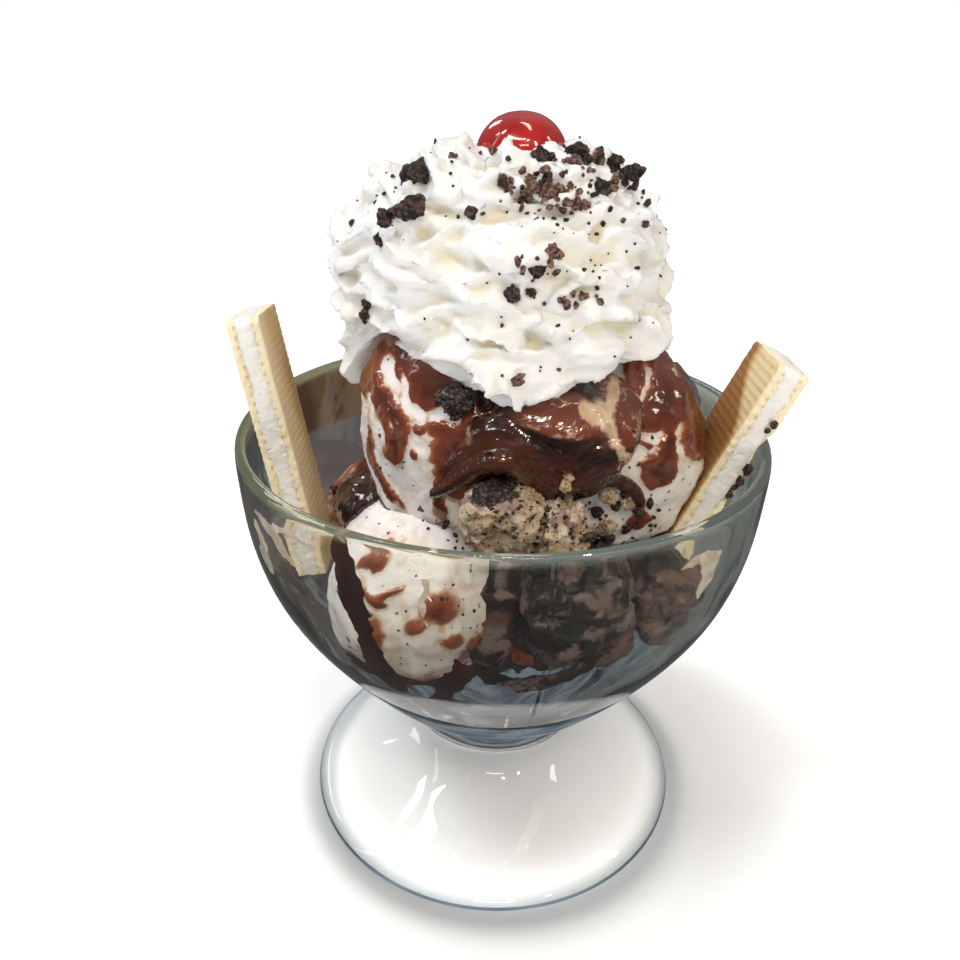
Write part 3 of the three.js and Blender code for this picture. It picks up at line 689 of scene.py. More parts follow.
def sunken(points, normals):
    """Below the lip the pool draws back to the ice cream; above it lie a groove and uneven waves."""
    line = np.array(LIP)
    order = np.argsort(line[:, 0])
    above = points[:, 2] - np.interp(points[:, 0], line[order, 0], line[order, 1])
    front = step(-normals[:, 1], 0.0, 0.5)
    groove = 1.6 * np.exp(-(((above - 3.4) / 1.5) ** 2)) + 1.2 * np.exp(-(((above - 8.2) / 1.6) ** 2))
    moved = points + normals * ((0.8 * uneven(points, 9, 2) - groove) * front)[:, None]
    moved[:, 1] += 4.5 * step(-above, 1.0, 3.5) * front
    return moved


sculpt(pool, sunken)
behind_rolls = on_top([pool] + [bpy.context.scene.objects[name]
                                for name in ("ice_cream_upper_left", "ice_cream_upper_right")])
rolls = [pool]
for line, sink in ((LIP, -0.5), (ROLL, 0.2)):
    curve = bpy.data.curves.new("fudge_roll", "CURVE")
    curve.dimensions, curve.bevel_depth, curve.bevel_resolution, curve.use_fill_caps = "3D", MM, 5, True
    spline = curve.splines.new("NURBS")
    spline.points.add(len(line) - 1)
    spline.use_endpoint_u = True
    for point, (x, z, thick) in zip(spline.points, line):
        hit, normal = behind_rolls(EYE, Vector((x, FRONT, z)))
        point.co = (*((hit - normal * sink) * MM), 1)
        point.radius = thick
    roll = linked("fudge_roll", curve)
    pick(roll)
    bpy.ops.object.convert(target="MESH")
    rolls.append(roll)
joined(rolls)
modify(pool, "REMESH", mode="VOXEL", voxel_size=0.5 * MM)
modify(pool, "SMOOTH", factor=0.5, iterations=7)

# Where ice cream is dragged through the pool, as runs of [x, z, half width].
MILKY = [[(16.5, 132.6, 1.2), (20.4, 131.0, 2.0), (22.4, 128.4, 1.2), (23.2, 126.0, 0.9),
          (24.9, 122.8, 1.1), (27.3, 120.8, 1.5), (30.6, 122, 1.4)],
         [(26.5, 137, 0.8), (23.8, 133.8, 1.2), (21, 131, 1.6)]]
THIN = [[12, 131.5, 9.5, 3.6, -8], [25, 131, 5, 7, 0], [-10, 127, 4, 3, 0]]
LUMPY = [[18.2, 127, 5.5, 5, 0]]
pool_points = all_points(pool) / MM
# The lip and the roll are marked for the pool's painted light.
for name, share in (("painted_ridge_light", 0.5 + 0.6 * near_run(pool_points, [LIP, ROLL])),
                    ("milky", 0.5 + 0.5 * near_run(pool_points, MILKY)),
                    ("thin", 0.5 + 1.6 * within(pool_points, THIN)),
                    ("lumpy", 2 * within(pool_points, LUMPY))):
    mark(pool, name, np.clip(share, 0, 1))
blob = remade("hot_fudge_run", "hot_fudge_blob", voxel=0.45, soften=8)
sculpt(blob, lambda points, normals: points + normals * (1.7 + 0.9 * uneven(points, 6, 9))[:, None])
for piece, node in ((pool, "hot_fudge"), (blob, "hot_fudge_blob")):
    modify(piece, "SMOOTH", factor=0.5, iterations=3)
    piece.data.materials.append(fudge_finish)
    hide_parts(node)
    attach(piece, "root")

# ---- Wafer fingers ------------------------------------------------------------------------
# Two baked sheets with a sugar cream between them. A soft diamond waffle is pressed into the
# sheets; the left finger is golden, the right one toasted brown along one side, and its outer
# sheet has broken off above the rim.

# Each finger's lower end, and how it leans outwards and back and is turned, in degrees.
FINGERS = {
    "left": {"foot": (-48.4, -5.7, 75.8), "side": -1, "swing": 5.5, "out": 10.9, "back": 5.7},
    "right": {"foot": (37.2, -8.7, 74.2), "side": 1, "swing": -1.0, "out": 24.3, "back": 2.1},
}
FINGER_LENGTH = 66
FINGER_CORNER = 3.2
WAFFLE = 1.9
PIT_SPACING = 2.3
sheet_finish, shader, place = finish("wafer_sheet", {
    "Roughness": 0.72, "Subsurface Weight": 0.1, "Subsurface Scale": 0.0008})
colour = (place.attribute("toast") + 0.14 * (place.noise(6, detail=3.0) - 0.5)).ramp([
    (0.0, (0.93, 0.81, 0.58)), (0.3, (0.76, 0.54, 0.25)), (0.65, (0.38, 0.175, 0.047)),
    (1.0, (0.26, 0.10, 0.025))])
# Painted shade of the small pits along the sheet's edges.
colour = (place.attribute("pit_shade") * 0.8).blend(colour, (0.38, 0.22, 0.07))
place.flecks(1.6, 0.22, 0.25).blend(colour, (0.55, 0.36, 0.15)).into(shader, "Base Color")
place.noise(0.5, detail=2.0).bump(shader, 0.12)
filling_finish, shader, place = finish("wafer_cream", {
    "Roughness": 0.6, "Subsurface Weight": 0.25, "Subsurface Scale": 0.0015})
place.noise(3, detail=3.0).over(0.5, 0.5).blend((0.86, 0.83, 0.78), (0.90, 0.885, 0.86)).into(
    shader, "Base Color")
place.noise(0.9, detail=3.0).bump(shader, 0.3)

for side, finger in FINGERS.items():
    lean = (Matrix.Translation(finger["foot"])
            @ Matrix.Rotation(math.radians(finger["side"] * finger["out"]), 4, "Y")
            @ Matrix.Rotation(math.radians(-finger["back"]), 4, "X")
            @ Matrix.Rotation(math.radians(finger["swing"]), 4, "Z"))
    home = np.array(lean.inverted())
    for layer in ("outer_sheet", "cream", "inner_sheet"):
        node = f"wafer_{side}_{layer}"
        slab = remade(node + "_baked", node, voxel=0.38, soften=2)
        kept = {}

        def waffled(points, normals):
            at = points @ home[:3, :3].T + home[:3, 3]
            facing = normals @ home[:3, :3].T
            flat = step(np.abs(facing[:, 0]), 0.75, 0.95)
            edge = 1 - step(np.abs(facing[:, 0]), 0.3, 0.6)
            diamonds = (np.cos(math.pi * (at[:, 1] + at[:, 2]) / WAFFLE)
                        * np.cos(math.pi * (at[:, 1] - at[:, 2]) / WAFFLE))
            rows = np.cos(2 * math.pi * at[:, 2] / PIT_SPACING + 2 * uneven(points, 9, 1))
            if layer == "cream":
                lift = 0.18 * uneven(points, 3, 2) + 0.9 * flat + 0.12
            else:
                lift = 0.15 * flat * diamonds + edge * 0.25 * uneven(points, 1.6, 3)
            # The toast: golden on the left finger, brown along one side of the right one.
            up = at[:, 2] / FINGER_LENGTH
            if side == "left":
                brown = 0.12 + 0.34 * step(at[:, 1] - 26 * (0.5 - up), -4, 14) - 0.12 * step(up, 0.6, 1)
            else:
                browned = at[:, 1] + 9 - 15 * step(up, 0.68, 0.96)
                brown = 0.16 + 0.56 * step(browned, -3.5, 2.5) + 0.06 * (1 - up)
            kept["toast"] = (brown + 0.06 * diamonds) * flat + 0.02
            # A row of small pits lies along the sheet's edges, beside the cream; they are not cut in, only
            # their shade is painted dark brown.
            border = np.exp(-(((np.abs(at[:, 0]) - 2.0) / 0.4) ** 2))
            kept["pit_shade"] = edge * border * step(rows + 0.6 * uneven(points, 1.8, 7), 0.1, 0.9)
            # The finger's upper corners are worn round.
            moved = points + normals * lift[:, None]
            at = moved @ home[:3, :3].T + home[:3, 3]
            past_side = np.abs(at[:, 1]) - (np.abs(at[:, 1]).max() - FINGER_CORNER)
            past_top = at[:, 2] - (at[:, 2].max() - FINGER_CORNER)
            reach = np.hypot(past_side, past_top)
            pull = np.where((past_side > 0) & (past_top > 0) & (reach > FINGER_CORNER),
                            1 - FINGER_CORNER / reach, 0)
            at[:, 1] -= np.sign(at[:, 1]) * past_side * pull
            at[:, 2] -= past_top * pull
            return (at - home[:3, 3]) @ home[:3, :3]

        sculpt(slab, waffled)
        if layer == "cream":
            slab.data.materials.append(filling_finish)
        else:
            mark(slab, "toast", kept["toast"])
            mark(slab, "pit_shade", kept["pit_shade"])
            slab.data.materials.append(sheet_finish)
        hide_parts(node)
        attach(slab, "root")

# ---- Whipped cream ------------------------------------------------------------------------
# Piped through a star nozzle: a ridged rope wound upwards in a shrinking spiral, wobbling so
# that its coils fold into ruffles, over a soft middle that sags in front and at the left.

ROPE_TURNS = 3.6
ROPE_RIDGES = 7
ROPE_POINTS = 900
ROPE_START = 135.5
ROPE_RISE = 37.0
# The rope's outside follows an egg: its half width, the height of its middle, its half height.
EGG_RADIUS = 38.0
EGG_MIDDLE = 150.5
EGG_REACH = 30.5
star = bpy.data.curves.new("star_nozzle", "CURVE")
star.dimensions = "2D"
ring = star.splines.new("POLY")
ring.points.add(8 * ROPE_RIDGES - 1)
for i, point in enumerate(ring.points):
    a = 2 * math.pi * i / len(ring.points)
    reach = 1 - 0.32 * abs(math.sin(ROPE_RIDGES * a / 2))
    point.co = (reach * math.cos(a) * MM, reach * math.sin(a) * MM, 0, 1)
ring.use_cyclic_u = True
nozzle = linked("star_nozzle", star)

path = bpy.data.curves.new("piped_rope", "CURVE")
path.dimensions, path.bevel_mode, path.bevel_object, path.use_fill_caps = "3D", "OBJECT", nozzle, True
rope_line = path.splines.new("POLY")
rope_line.points.add(ROPE_POINTS)
for i, point in enumerate(rope_line.points):
    t = i / ROPE_POINTS
    a = 2 * math.pi * ROPE_TURNS * t + 2.6
    sway = noise.noise((3 * math.cos(a), 3 * math.sin(a), 9 * t))
    flutter = noise.noise((9 * t * ROPE_TURNS, 4.2, 1.7))
    rise = (ROPE_START + ROPE_RISE * t**0.95 + 1.6 * math.sin(7.7 * a + 3 * sway)
            + 2.2 * sway * (1 - 0.6 * t))
    thick = (9.0 - 1.8 * t) * (1 + 0.10 * math.sin(9.3 * a + 4 * flutter))
    hull = EGG_RADIUS * math.sqrt(1 - min(0.999, abs((rise - EGG_MIDDLE) / EGG_REACH)) ** 2)
    hull -= 5.5 * max(0, t - 0.55)
    radius = max(2.0, hull - thick + 0.6 + 1.9 * math.sin(7.6 * a + 5 * flutter) + 1.2 * sway)
    point.co = ((-1 + radius * math.cos(a)) * MM, radius * math.sin(a) * MM, rise * MM, 1)
    point.radius = thick
    point.tilt = 0.55 * a + 0.5 * flutter
rope = linked("piped_rope", path)
pick(rope)
bpy.ops.object.convert(target="MESH")
bpy.data.objects.remove(nozzle)

cream = remade("piped_whipped_cream", "whipped_cream", voxel=1.2, soften=2)
sculpt(cream, lambda points, normals: points - normals * 4.6)
lobes = []
# Soft lobes: the sag in front, the tails at both sides, and the peaks round the cherry.
for x, y, z, rx, ry, rz in [
        (2, -32, 139, 12, 8, 7), (-8, -31, 143, 9, 7, 6), (-31, -8, 137, 6, 8, 11),
        (-34, -10, 131, 4, 4, 5.5), (16, -30, 143, 9, 7, 6), (27, -21, 144, 7, 7, 6),
        (-0.9, -9.5, 174.4, 3.2, 3.2, 6.0), (8.6, -8.5, 175.2, 3.6, 3.4, 6.0), (-10.5, -5, 174, 7, 7, 6.5)]:
    lobe = added(bpy.ops.mesh.primitive_uv_sphere_add, "cream_lobe", segments=32, ring_count=20, radius=1,
                 location=(x * MM, y * MM, z * MM))
    lobe.scale = (rx * MM, ry * MM, rz * MM)
    bpy.ops.object.transform_apply(location=True, rotation=True, scale=True)
    lobes.append(lobe)
joined([cream, rope, *lobes])
modify(cream, "REMESH", mode="VOXEL", voxel_size=0.75 * MM)
modify(cream, "SMOOTH", factor=0.5, iterations=2)


def loosened(obj, points, times):
    """The points after each has moved to the middle of its neighbours this many times."""
    edges = np.empty(2 * len(obj.data.edges), int)
    obj.data.edges.foreach_get("vertices", edges)
    a, b = edges.reshape(-1, 2).T
    count = len(points)
    degree = np.bincount(a, minlength=count) + np.bincount(b, minlength=count)
    for _ in range(times):
        points = np.stack([
            (np.bincount(a, points[b, i], count) + np.bincount(b, points[a, i], count)) / degree
            for i in range(3)], axis=1)
    return points


# The hem: how high the cream's lower edge lies, by the angle round the sundae from the right.
HEM = np.array([
    (-180, 127), (-163, 127), (-152, 140), (-140, 146.5), (-128, 145), (-115, 139.5), (-103, 137.5),
    (-95, 137.0), (-90, 133.5), (-85, 132.5), (-77, 132.5), (-68, 136), (-56, 139), (-44, 140.5),
    (-30, 138), (0, 131), (60, 128), (120, 128), (180, 127)])
kept = {}


def billowed(points, normals):
    """Sharp folds and fine crinkles, cut off at the hem. Hollows are marked for their painted shade."""
    bent = points + 3.0 * np.stack([uneven(points, 14, s, 2) for s in (1, 2, 3)], axis=1)
    folds = np.maximum(0, 1 - 3.4 * np.abs(uneven(bent * (1, 1, 1.8), 15, 6, 2))) ** 1.4
    crinkles = np.maximum(0, 1 - 3.6 * np.abs(uneven(bent * (1, 1, 1.7), 7, 16, 2)))
    moved = points + normals * (2.2 * folds + 0.5 * crinkles - 0.8)[:, None]
    turn = np.degrees(np.arctan2(moved[:, 1], moved[:, 0] + 1))
    hem = np.interp(turn, HEM[:, 0], HEM[:, 1]) + 0.8 * uneven(moved, 7, 15)
    moved[:, 2] = np.where(moved[:, 2] < hem, hem + 0.3 * (moved[:, 2] - hem), moved[:, 2])
    kept["hollow"] = ((loosened(cream, moved, 30) - moved) * normals).sum(1)
    return moved


sculpt(cream, billowed)
mark(cream, "hollow", kept["hollow"])
bpy.ops.object.shade_smooth()
cream_finish, shader, place = finish("whipped_cream", {
    "Roughness": 0.4, "Subsurface Weight": 0.35, "Subsurface Radius": (1.0, 0.85, 0.6),
    "Subsurface Scale": 0.0016, "Coat Weight": 0.12, "Coat Roughness": 0.3})
# Painted shade: the hollows are coloured darker and yellower, as bounced warm light and shade make them.
painted_hollow_shade = (place.attribute("hollow") + 0.9 * (place.noise(9, detail=2.0) - 0.5)).over(0.9, 1.3)
warm = place.noise(24, detail=1.0).over(0.5, 0.4).blend((0.86, 0.87, 0.89), (0.86, 0.845, 0.80))
painted_hollow_shade.blend(warm, (0.84, 0.785, 0.61)).into(shader, "Base Color")
place.noise(1.1, detail=2.0).bump(shader, 0.12)
cream.data.materials.append(cream_finish)
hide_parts("whipped_cream")
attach(cream, "root")

# ---- Cherry -------------------------------------------------------------------------------
# One cocktail cherry, bright red and wet with syrup, a little flat and dimpled where the stalk
# was. It sits sunk in the top of the whipped cream.

CHERRY_RADIUS = 9
cherry = added(bpy.ops.mesh.primitive_uv_sphere_add, "cocktail_cherry", segments=64, ring_count=40,
               radius=CHERRY_RADIUS * MM)


def dimpled(points, normals):
    """A little wider than high, with the stalk's dimple on top."""
    from_top = np.arccos(np.clip(points[:, 2] / CHERRY_RADIUS, -1, 1))
    moved = points * (1.1, 1, 0.94)
    moved[:, 2] -= 0.05 * CHERRY_RADIUS * np.exp(-((from_top / 0.35) ** 2))
    moved += normals * (0.18 * uneven(points, 6, 3))[:, None]
    return moved


sculpt(cherry, dimpled)
pick(cherry)
cherry.location = (2.6 * MM, 1.5 * MM, 176.9 * MM)
cherry.rotation_euler = (0.25, 0, 0)
bpy.ops.object.transform_apply(location=True, rotation=True, scale=True)
bpy.ops.object.shade_smooth()
cherry_finish, shader, place = finish("cherry", {
    "Roughness": 0.12, "Coat Weight": 1.0, "Coat Roughness": 0.02, "Subsurface Weight": 0.15,
    "Subsurface Radius": (1.0, 0.08, 0.05), "Subsurface Scale": 0.003})
place.noise(6, detail=3.0).over(0.5, 0.5).blend((0.34, 0.004, 0.005), (0.54, 0.014, 0.011)).into(
    shader, "Base Color")
place.noise(4, detail=1.0).bump(shader, 0.1)
cherry.data.materials.append(cherry_finish)
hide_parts("cherry")
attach(cherry, "root")

# ---- Cookie crumbs ------------------------------------------------------------------------
# Crushed chocolate cookie sprinkled over the top: craggy black pieces, lighter brown ones that
# broke inside, and fine specks. Each lies where it fell, a third of it sunk into what carries it.


def crumb_shape(name, detail, seed, rough):
    """One craggy crumb of radius 1 mm."""
    shape = added(bpy.ops.mesh.primitive_ico_sphere_add, name, subdivisions=detail, radius=MM)
    sculpt(shape, lambda points, normals: points * (
        1.1 + rough * uneven(points, 1.1, seed, 3) - rough * cells(points, 0.8, seed))[:, None])
    return shape


CRUMB_LIFT = 0.14


def sprinkle(name, shapes, places, met, material):
    """Lays one crumb at each place (where its line of sight comes from, its aim, its size)."""
    copies = []
    for origin, aim, size in places:
        hit, normal = met(origin, Vector(aim))
        if hit is None:
            continue
        shape = random.choice(shapes)
        copy = linked(name, shape.data.copy())
        stretch = [size / 2 * random.uniform(0.6, 1.25) for _ in range(3)]
        turn = Matrix.Rotation(random.uniform(0, 6.28), 4, Vector(
            [random.uniform(-1, 1) for _ in range(3)]).normalized())
        copy.data.transform(Matrix.Translation((hit + normal * size * CRUMB_LIFT) * MM) @ turn
                            @ Matrix.Diagonal((*stretch, 1)))
        copies.append(copy)
    piece = joined(copies)
    piece.name = name
    piece.data.materials.clear()
    piece.data.materials.append(material)
    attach(piece, "root")


random.seed(11)
cream_top = on_top([cream])
carriers = [obj for obj in bpy.context.scene.objects
            if obj.name.startswith(("ice_cream", "hot_fudge_", "cookie_chunk", "brownie", "wafer"))
            and not obj.name.endswith("on_glass") and obj.name not in frame["nodes"]]
everything = on_top([obj for obj in carriers if not obj.name.startswith("wafer")])
beside = on_top(carriers)
dark_crumb, shader, place = finish("dark_crumb", {"Roughness": 0.75})
tone = place.noise(0.9, detail=4.0)
tone.over(0.53, 0.2).blend((0.012, 0.008, 0.007), (0.095, 0.052, 0.040)).into(shader, "Base Color")
tone.bump(shader, 0.5)
brown_crumb, shader, place = finish("brown_crumb", {"Roughness": 0.85})
tone = place.noise(0.8, detail=4.0)
tone.over(0.5, 0.2).blend((0.050, 0.024, 0.018), (0.26, 0.145, 0.100)).into(shader, "Base Color")
tone.bump(shader, 0.5)

craggy = [crumb_shape("craggy", detail=4, seed=seed, rough=0.5) for seed in (1, 2, 3, 4)]
DARK = [(-18.5, -19.8, 175.1, 7), (-18.3, -28.3, 169.6, 7.5), (-23.3, -27.1, 167.5, 6),
        (-28, -29.4, 148.6, 5.5), (-27.4, -29, 151, 3.6), (-6.7, -31.9, 169.5, 4.3), (1.8, -38.1, 156.2, 5),
        (4.6, -38.1, 156.6, 3.4), (5.5, -37, 160.3, 5.3), (6.2, -18.1, 178.1, 5.6), (13.3, -11.9, 178.5, 5.6),
        (18.5, -7.5, 177.8, 5), (21.6, -5.3, 176.5, 6.6), (25.5, -10.2, 173.5, 8), (17.1, -22.8, 173.3, 6.5),
        (8.2, -16.5, 177.6, 4.5), (7.5, -24.6, 175, 4.5), (2.6, -30.3, 171.2, 4), (12.6, -4, 181, 5),
        (-0.8, -25, 174.5, 3.8), (-24.6, -27.6, 163.5, 3.6), (16, -13, 177, 4), (23.5, -14, 174, 4.4)]
BROWN = [(10.4, -7.4, 179.8, 5), (4.1, -27.9, 173.3, 5.4), (7.4, -28.5, 172.4, 5), (9.6, -26.5, 172.8, 5),
         (11.4, -28.6, 171, 3.6), (14.6, -28, 170.7, 3.6), (8.6, -35.4, 163.2, 4.6), (2.6, -35.3, 138, 4),
         (0.4, -26.5, 174.2, 3.4), (-3, -14, 178.6, 3), (15.4, -9.5, 178.6, 4), (12.8, -16.2, 176.8, 4.2),
         (-11.2, -17, 177.6, 2.6), (21, -18, 173.6, 3.4), (3.8, -25.5, 174.6, 4.4), (15, -36, 155, 3)]
sprinkle("cookie_crumbs_black", craggy, [(EYE, p[:3], 0.76 * p[3]) for p in DARK], cream_top, dark_crumb)
sprinkle("cookie_crumbs_brown", craggy, [(EYE, p[:3], 0.72 * p[3]) for p in BROWN], cream_top, brown_crumb)

small = [crumb_shape("small", detail=2, seed=seed, rough=0.45) for seed in (5, 6, 7)]
# Clusters of bits: [x, y, z, spread, count].
SHATTERED = [(5.5, -27.5, 173.5, 3.2, 24), (11, -27, 171.8, 3, 18), (16, -13, 177, 4, 14),
             (8.5, -35.5, 161.5, 2.2, 6), (13, -35.5, 156, 3, 9), (16, -24, 173, 3, 8)]
LOW = [(-44, 0, 92, 5, 8), (-38, -4, 97, 5, 8), (-2, -42, 117, 4, 6), (8, -42, 109, 6, 40),
       (18, -40, 107, 5, 40), (-8, -42, 105, 4, 12), (25, -36, 105, 4, 18), (-10, -42, 88, 3, 8),
       (40, -20, 118, 6, 8), (34, -30, 108, 5, 8)]


def clustered(clusters, flatness, smallest, largest):
    """Random places round the middle of each cluster, for bits between these sizes."""
    return [(EYE, (random.gauss(x, spread), y, random.gauss(z, flatness * spread)),
             random.uniform(smallest, largest))
            for x, y, z, spread, count in clusters for _ in range(count)]


sprinkle("cookie_crumbs_shattered", small, clustered(SHATTERED, 0.5, 0.8, 2.3), cream_top, brown_crumb)
# Fine specks: a band over the top right, then clusters of [x, z, spread, count], then all round.
SPECKS = [(3, 172, 3.5, 16), (9, 171, 4, 10), (14, 167, 5, 9), (17, 155, 5, 9), (2, 156, 4, 6),
          (-8, 172, 5, 5), (-12, 176, 4, 6), (9, 160, 4, 5), (22, 150, 9, 5), (28, 165, 7, 8),
          (3, 138, 5, 5), (-22, 168, 6, 3), (-12, 150, 12, 3), (10, 148, 12, 4)]
specks = []
for _ in range(40):
    along_band = random.random()
    specks.append((EYE, (4 + 24 * along_band + random.gauss(0, 4), -20,
                         176 - 6 * along_band + random.gauss(0, 3)), 0.7 + 1.5 * random.random() ** 2))
for x, z, spread, count in SPECKS:
    for _ in range(count):
        specks.append((EYE, (random.gauss(x, spread), -30, random.gauss(z, spread)),
                       0.45 + 0.9 * random.random() ** 2))
for _ in range(70):
    x, y = random.uniform(-36, 36), random.uniform(-20, 38)
    specks.append((Vector((x, y, 230)), (x * 0.999, y, 150), 0.5 + 1.6 * random.random() ** 3))
sprinkle("cookie_crumbs_fine", small, specks, cream_top, dark_crumb)
# Single bits that can be told apart: [x, z, size].
mixed = clustered(LOW, 0.7, 0.4, 1.25)
mixed += [(EYE, (x, -38, z), size) for x, z, size in [
    (26, 114.5, 3.2), (29.5, 110.5, 3.6), (23.5, 104, 4.4), (20.8, 110.3, 3.4), (27.2, 106.2, 2.8),
    (19.4, 104.2, 3.6), (-11.4, 106.4, 2.6), (24.4, 111.6, 2.6), (31.4, 112.6, 2.4)]]
sprinkle("cookie_crumbs_low", small, mixed, everything, dark_crumb)
by_wafers = [(EYE, (x, -30, z), size) for x, z, size in [
    (-35.3, 115, 2.8), (-37.4, 111, 3.4), (-36.5, 108.9, 3.4), (-35.5, 113, 2.6), (-34.0, 117.2, 3.0),
    (-32.6, 119.2, 3.2), (57, 127.7, 2.6), (56, 126.3, 2.0), (53, 117.3, 3.0), (51.8, 114.3, 3.2),
    (50.9, 112.6, 2.0), (50.1, 110.8, 3.0)]]
sprinkle("cookie_crumbs_by_wafers", small, by_wafers, beside, dark_crumb)
# Beige bits of the cookies' filling among them.
pale_shapes = [crumb_shape("pale", detail=4, seed=seed, rough=0.4) for seed in (8, 9, 10)]
for shape in pale_shapes:
    mark(shape, "mash", np.full(len(shape.data.vertices), 0.9))
PALE = [(13.9, 118.7, 2.4), (13.6, 116.4, 3.4), (14.4, 114.2, 4.0), (22.5, 114.6, 4.8), (26.8, 113.4, 4.0),
        (22.5, 107, 4.0)]
sprinkle("cookie_crumbs_pale", pale_shapes, [(EYE, (x, -39, z), size) for x, z, size in PALE],
         everything, cookie_finish)
for shape in craggy + small + pale_shapes:
    bpy.data.objects.remove(shape)

# ---- Table, light and camera --------------------------------------------------------------
# A white table under soft light, cool from the left and warm from the right. What is seen through the bowl is
# painted on a dark backdrop that only the glass sees, which stands close round the bowl and under it: painted
# shade, painted light and painted reflections of a dim room.

table = added(bpy.ops.mesh.primitive_plane_add, "table", size=30, location=(0, 0, -0.0004))
table_finish, shader, place = finish("white_table", {
    "Roughness": 1.0, "Specular IOR Level": 0.0, "Base Color": (0.80, 0.80, 0.80, 1),
    "Emission Strength": 1.0})
away = place.node("ShaderNodeVectorMath", {"operation": "LENGTH"}, {0: place}, out="Value")
# Painted light and shade on the table: under the foot a painted pool of light, as if the glass gathered it,
# brighter at the right; just outside its edge a painted shadow, the darkest; further out it grows to the
# table's even white, lifting the shade: [distance from the middle, glow].
PAINTED_TABLE_GLOW = [(44, 0.30), (50, 0.03), (55.5, 0.03), (59.5, 0.17), (70, 0.18), (85, 0.28), (98, 0.38), (120, 0.45)]
painted_table_glow = away.ramp([(r, (shine,) * 3) for r, shine in PAINTED_TABLE_GLOW], 150)
painted_light_under_foot = place.part("X").over(0.0, 0.08).blend((0.10, 0.10, 0.105), (0.50, 0.50, 0.51))
(1 - away.over(0.048, 0.006)).blend(painted_table_glow, painted_light_under_foot).into(shader, "Emission Color")
table.data.materials.append(table_finish)
table.visible_glossy = False

# Gloss on the pieces mirrors a dimmer table, as wet food does in a room lit from above.
dim_table = added(bpy.ops.mesh.primitive_plane_add, "dim_table", size=30, location=(0, 0, -0.0008))
dim_finish, shader, place = finish("dim_table", {
    "Roughness": 1.0, "Specular IOR Level": 0.0, "Base Color": (0, 0, 0, 1),
    "Emission Color": (0.13, 0.13, 0.13, 1), "Emission Strength": 1.0})
dim_table.data.materials.append(dim_finish)
dim_table.visible_camera = dim_table.visible_diffuse = dim_table.visible_shadow = False
dim_table.visible_transmission = False

painted_backdrop_finish, shader, place = finish("painted_backdrop", {
    "Base Color": (0, 0, 0, 1), "Roughness": 1.0, "Specular IOR Level": 0.0, "Emission Strength": 1.0})
along, low = place.part("X"), place.part("Z")
left_side = place.noise(30, detail=1.0).over(0.52, 0.2).blend((0.055, 0.063, 0.068), (0.085, 0.060, 0.040))
painted_room_colour = along.over(0.0, 0.09).blend(left_side, (0.15, 0.16, 0.145))
# Painted reflections: tall pale shapes and dark ones, as of things standing about in a room.
tall = place.node("ShaderNodeVectorMath", {"operation": "MULTIPLY"}, {0: place, 1: (1, 1, 0.25)})
painted_room_colour = tall.noise(9, detail=2.0).over(0.60, 0.12).blend(painted_room_colour, (0.20, 0.215, 0.21))
painted_room_colour = (0.8 * tall.noise(6, detail=2.0).over(0.60, 0.10)).blend(painted_room_colour, (0.03, 0.034, 0.038))
# Painted light low down, under the bowl: blue-grey blotches, lighter than the rest.
painted_bottom_light = place.noise(11, detail=2.0).over(0.5, 0.2).blend((0.10, 0.12, 0.14), (0.24, 0.275, 0.305))
painted_room_colour = (1 - low.over(0.050, 0.022)).blend(painted_room_colour, painted_bottom_light)
# Painted light near the rim: a pale grey-green band.
painted_room_colour = low.over(0.108, 0.008).blend(painted_room_colour, (0.30, 0.335, 0.27))
# At the back left it is painted brown above a grey band.
corner = (1 - along.over(-0.030, 0.03)) * place.part("Y").over(0.015, 0.03)
wall = tall.noise(14, detail=2.0).over(0.5, 0.3).blend((0.050, 0.024, 0.011), (0.125, 0.068, 0.030))
wall = low.over(0.094, 0.002).blend((0.095, 0.085, 0.083), wall)
corner.blend(painted_room_colour, wall).into(shader, "Emission Color")


def painted_backdrop(name, line):
    """A turned sheet that only the glass sees, drawn from the top down along [radius, height]."""
    sheet = turned(name, line, "NOTHING")
    bpy.ops.object.mode_set(mode="OBJECT")
    sheet.data.materials.append(painted_backdrop_finish)
    sheet.visible_camera = sheet.visible_diffuse = sheet.visible_shadow = False
    sheet.visible_volume_scatter = False
    return sheet


sheet_above = painted_backdrop("painted_backdrop_above", [(69, 116), (69, 108), (68, 92), (63, 75), (53.5, 58.5), (42, 43.5)])
sheet_above.visible_glossy = False
painted_backdrop("painted_backdrop_below", [(42, 43.5), (33, 34), (26, 28), (21.5, 25.5), (0.5, 25.4)])


# The thick foot and the bowl take a little of the light: their soft shade on the table.
def shade(name, middle, radius, alpha, soft, inner=(1.0, 0.0)):
    """A disc that only takes light away: none at its soft edge, and this share of it inside a radius."""
    disc = added(bpy.ops.mesh.primitive_circle_add, name, vertices=64, radius=radius * MM, fill_type="NGON",
                 location=Vector(middle) * MM)
    bpy.ops.object.transform_apply(location=True, rotation=True, scale=True)
    veil, shader, place = finish(name, {
        "Base Color": (0.9, 0.9, 0.9, 1), "Roughness": 1.0, "Specular IOR Level": 0.0})
    away = place.node("ShaderNodeVectorMath", {"operation": "DISTANCE"}, {
        0: place, 1: tuple(Vector(middle) * MM)}, out="Value")
    thinner = 1 - (1 - inner[0]) * (1 - away.over(inner[1] * MM, 5 * MM))
    (alpha * thinner * (1 - away.over((radius - soft / 2) * MM, soft * MM))).into(shader, "Alpha")
    disc.data.materials.append(veil)
    disc.visible_camera = disc.visible_transmission = disc.visible_glossy = disc.visible_diffuse = False


shade("foot_shade", (2.2, -2.8, 1.2), radius=63, alpha=0.97, soft=11, inner=(0.52, 49))
shade("bowl_shade", (14, -9, 70), radius=56, alpha=0.56, soft=34)


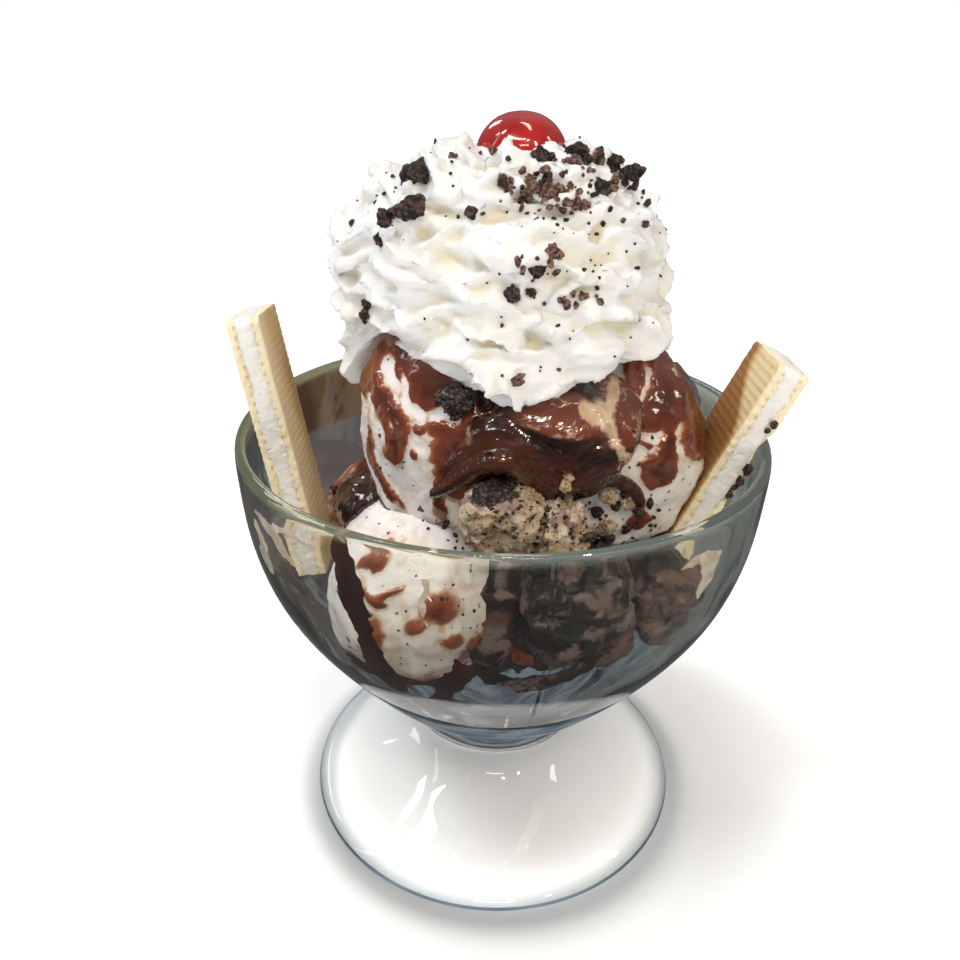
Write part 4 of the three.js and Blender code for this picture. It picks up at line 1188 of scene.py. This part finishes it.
def turned_to(place, aim):
    """The rotation of a lamp at this place that shines on its aim."""
    return (Vector(aim) - Vector(place)).to_track_quat("-Z", "Y").to_euler()


def sunlight(name, place, strength, width, colour):
    """A sun of this angular width in degrees, which the gloss doesn't mirror."""
    lamp = bpy.data.lights.new(name, "SUN")
    lamp.energy, lamp.angle, lamp.color = strength, math.radians(width), colour
    obj = linked(name, lamp)
    obj.location, obj.rotation_euler = place, turned_to(place, (0, 0, 0.1))
    obj.visible_glossy = False


def soft_light(name, place, size, watts, colour, only_mirrored=False):
    """An area lamp, which may show in the gloss alone."""
    lamp = bpy.data.lights.new(name, "AREA")
    lamp.shape, lamp.size, lamp.size_y = "RECTANGLE", size[0], size[1]
    lamp.energy, lamp.color = watts, colour
    obj = linked(name, lamp)
    obj.location, obj.rotation_euler = place, turned_to(place, (0, 0, 0.11))
    obj.visible_diffuse = not only_mirrored


sunlight("window", (-0.38, -0.08, 0.90), strength=1.45, width=16, colour=(0.93, 0.965, 1.0))
sunlight("front", (-0.22, -0.80, 0.70), strength=0.6, width=60, colour=(0.97, 0.98, 1.0))
sunlight("warm_room", (0.8, -0.35, 0.5), strength=0.38, width=50, colour=(1.0, 0.89, 0.75))
soft_light("lamp_a", (0.12, -0.45, 0.62), (0.035, 0.03), 0.5, (1.0, 0.80, 0.5))
soft_light("lamp_b", (0.3, -0.4, 0.5), (0.025, 0.06), 0.42, (1.0, 0.82, 0.55))
soft_light("back_window", (-0.45, 0.62, 0.72), (0.16, 0.30), 1.3, (0.96, 0.98, 1.0))
soft_light("strip", (-0.45, -0.1, 0.35), (0.03, 0.4), 0.12, (0.95, 0.98, 1.0))
for name, place, size, watts, colour in [
        ("pane_left", (-0.44, 0.0, 0.59), (0.045, 0.085), 0.15, (0.95, 0.98, 1.0)),
        ("pane_front", (-0.32, -0.10, 0.64), (0.09, 0.10), 0.32, (0.95, 0.98, 1.0)),
        ("pane_right", (0.50, -0.06, 0.52), (0.05, 0.14), 0.22, (1.0, 0.93, 0.82)),
        ("lamp_row", (0.08, 0.04, 0.75), (0.34, 0.06), 0.7, (1.0, 0.82, 0.55)),
        ("lamp_long", (-0.10, -0.34, 0.60), (0.30, 0.035), 0.9, (1.0, 0.92, 0.80)),
        ("lamp_low", (0.03, -0.48, 0.46), (0.22, 0.022), 0.3, (1.0, 0.86, 0.62))]:
    soft_light(name, place, size, watts, colour, only_mirrored=True)

# The camera sees a white background; all else sees a dimmer room that is brighter overhead.
world = bpy.data.worlds.new("white_room")
bpy.context.scene.world = world
world.use_nodes = True
sky = world.node_tree.nodes["Background"]
sky.inputs["Color"].default_value = (1, 1, 1, 1)
around = Wire(world.node_tree, None)
seen = around.node("ShaderNodeLightPath", {}, {}, out="Is Camera Ray")
up = around.node("ShaderNodeTexCoord", {}, {}, out="Generated").part("Z")
mirrored = around.node("ShaderNodeLightPath", {}, {}, out="Is Glossy Ray")
dimmed = (0.15 + 0.27 * up.over(0.35, 0.7)) * (1 - 0.4 * mirrored)
(dimmed + seen * (1 - dimmed)).into(sky, "Strength")

camera = bpy.data.cameras.new("camera")
camera.lens, camera.sensor_width, camera.clip_start = 31.475, 36, 0.01
eye = linked("camera", camera)
eye.matrix_world = (Matrix.Translation((0, -0.19421, 0.19637))
                    @ Matrix.Rotation(math.radians(1.561), 4, "Z")
                    @ Matrix.Rotation(math.radians(90 - 27.027), 4, "X")
                    @ Matrix.Rotation(math.radians(0.884), 4, "Z"))
bpy.context.scene.camera = eye
bpy.context.scene.view_settings.view_transform = "Standard"
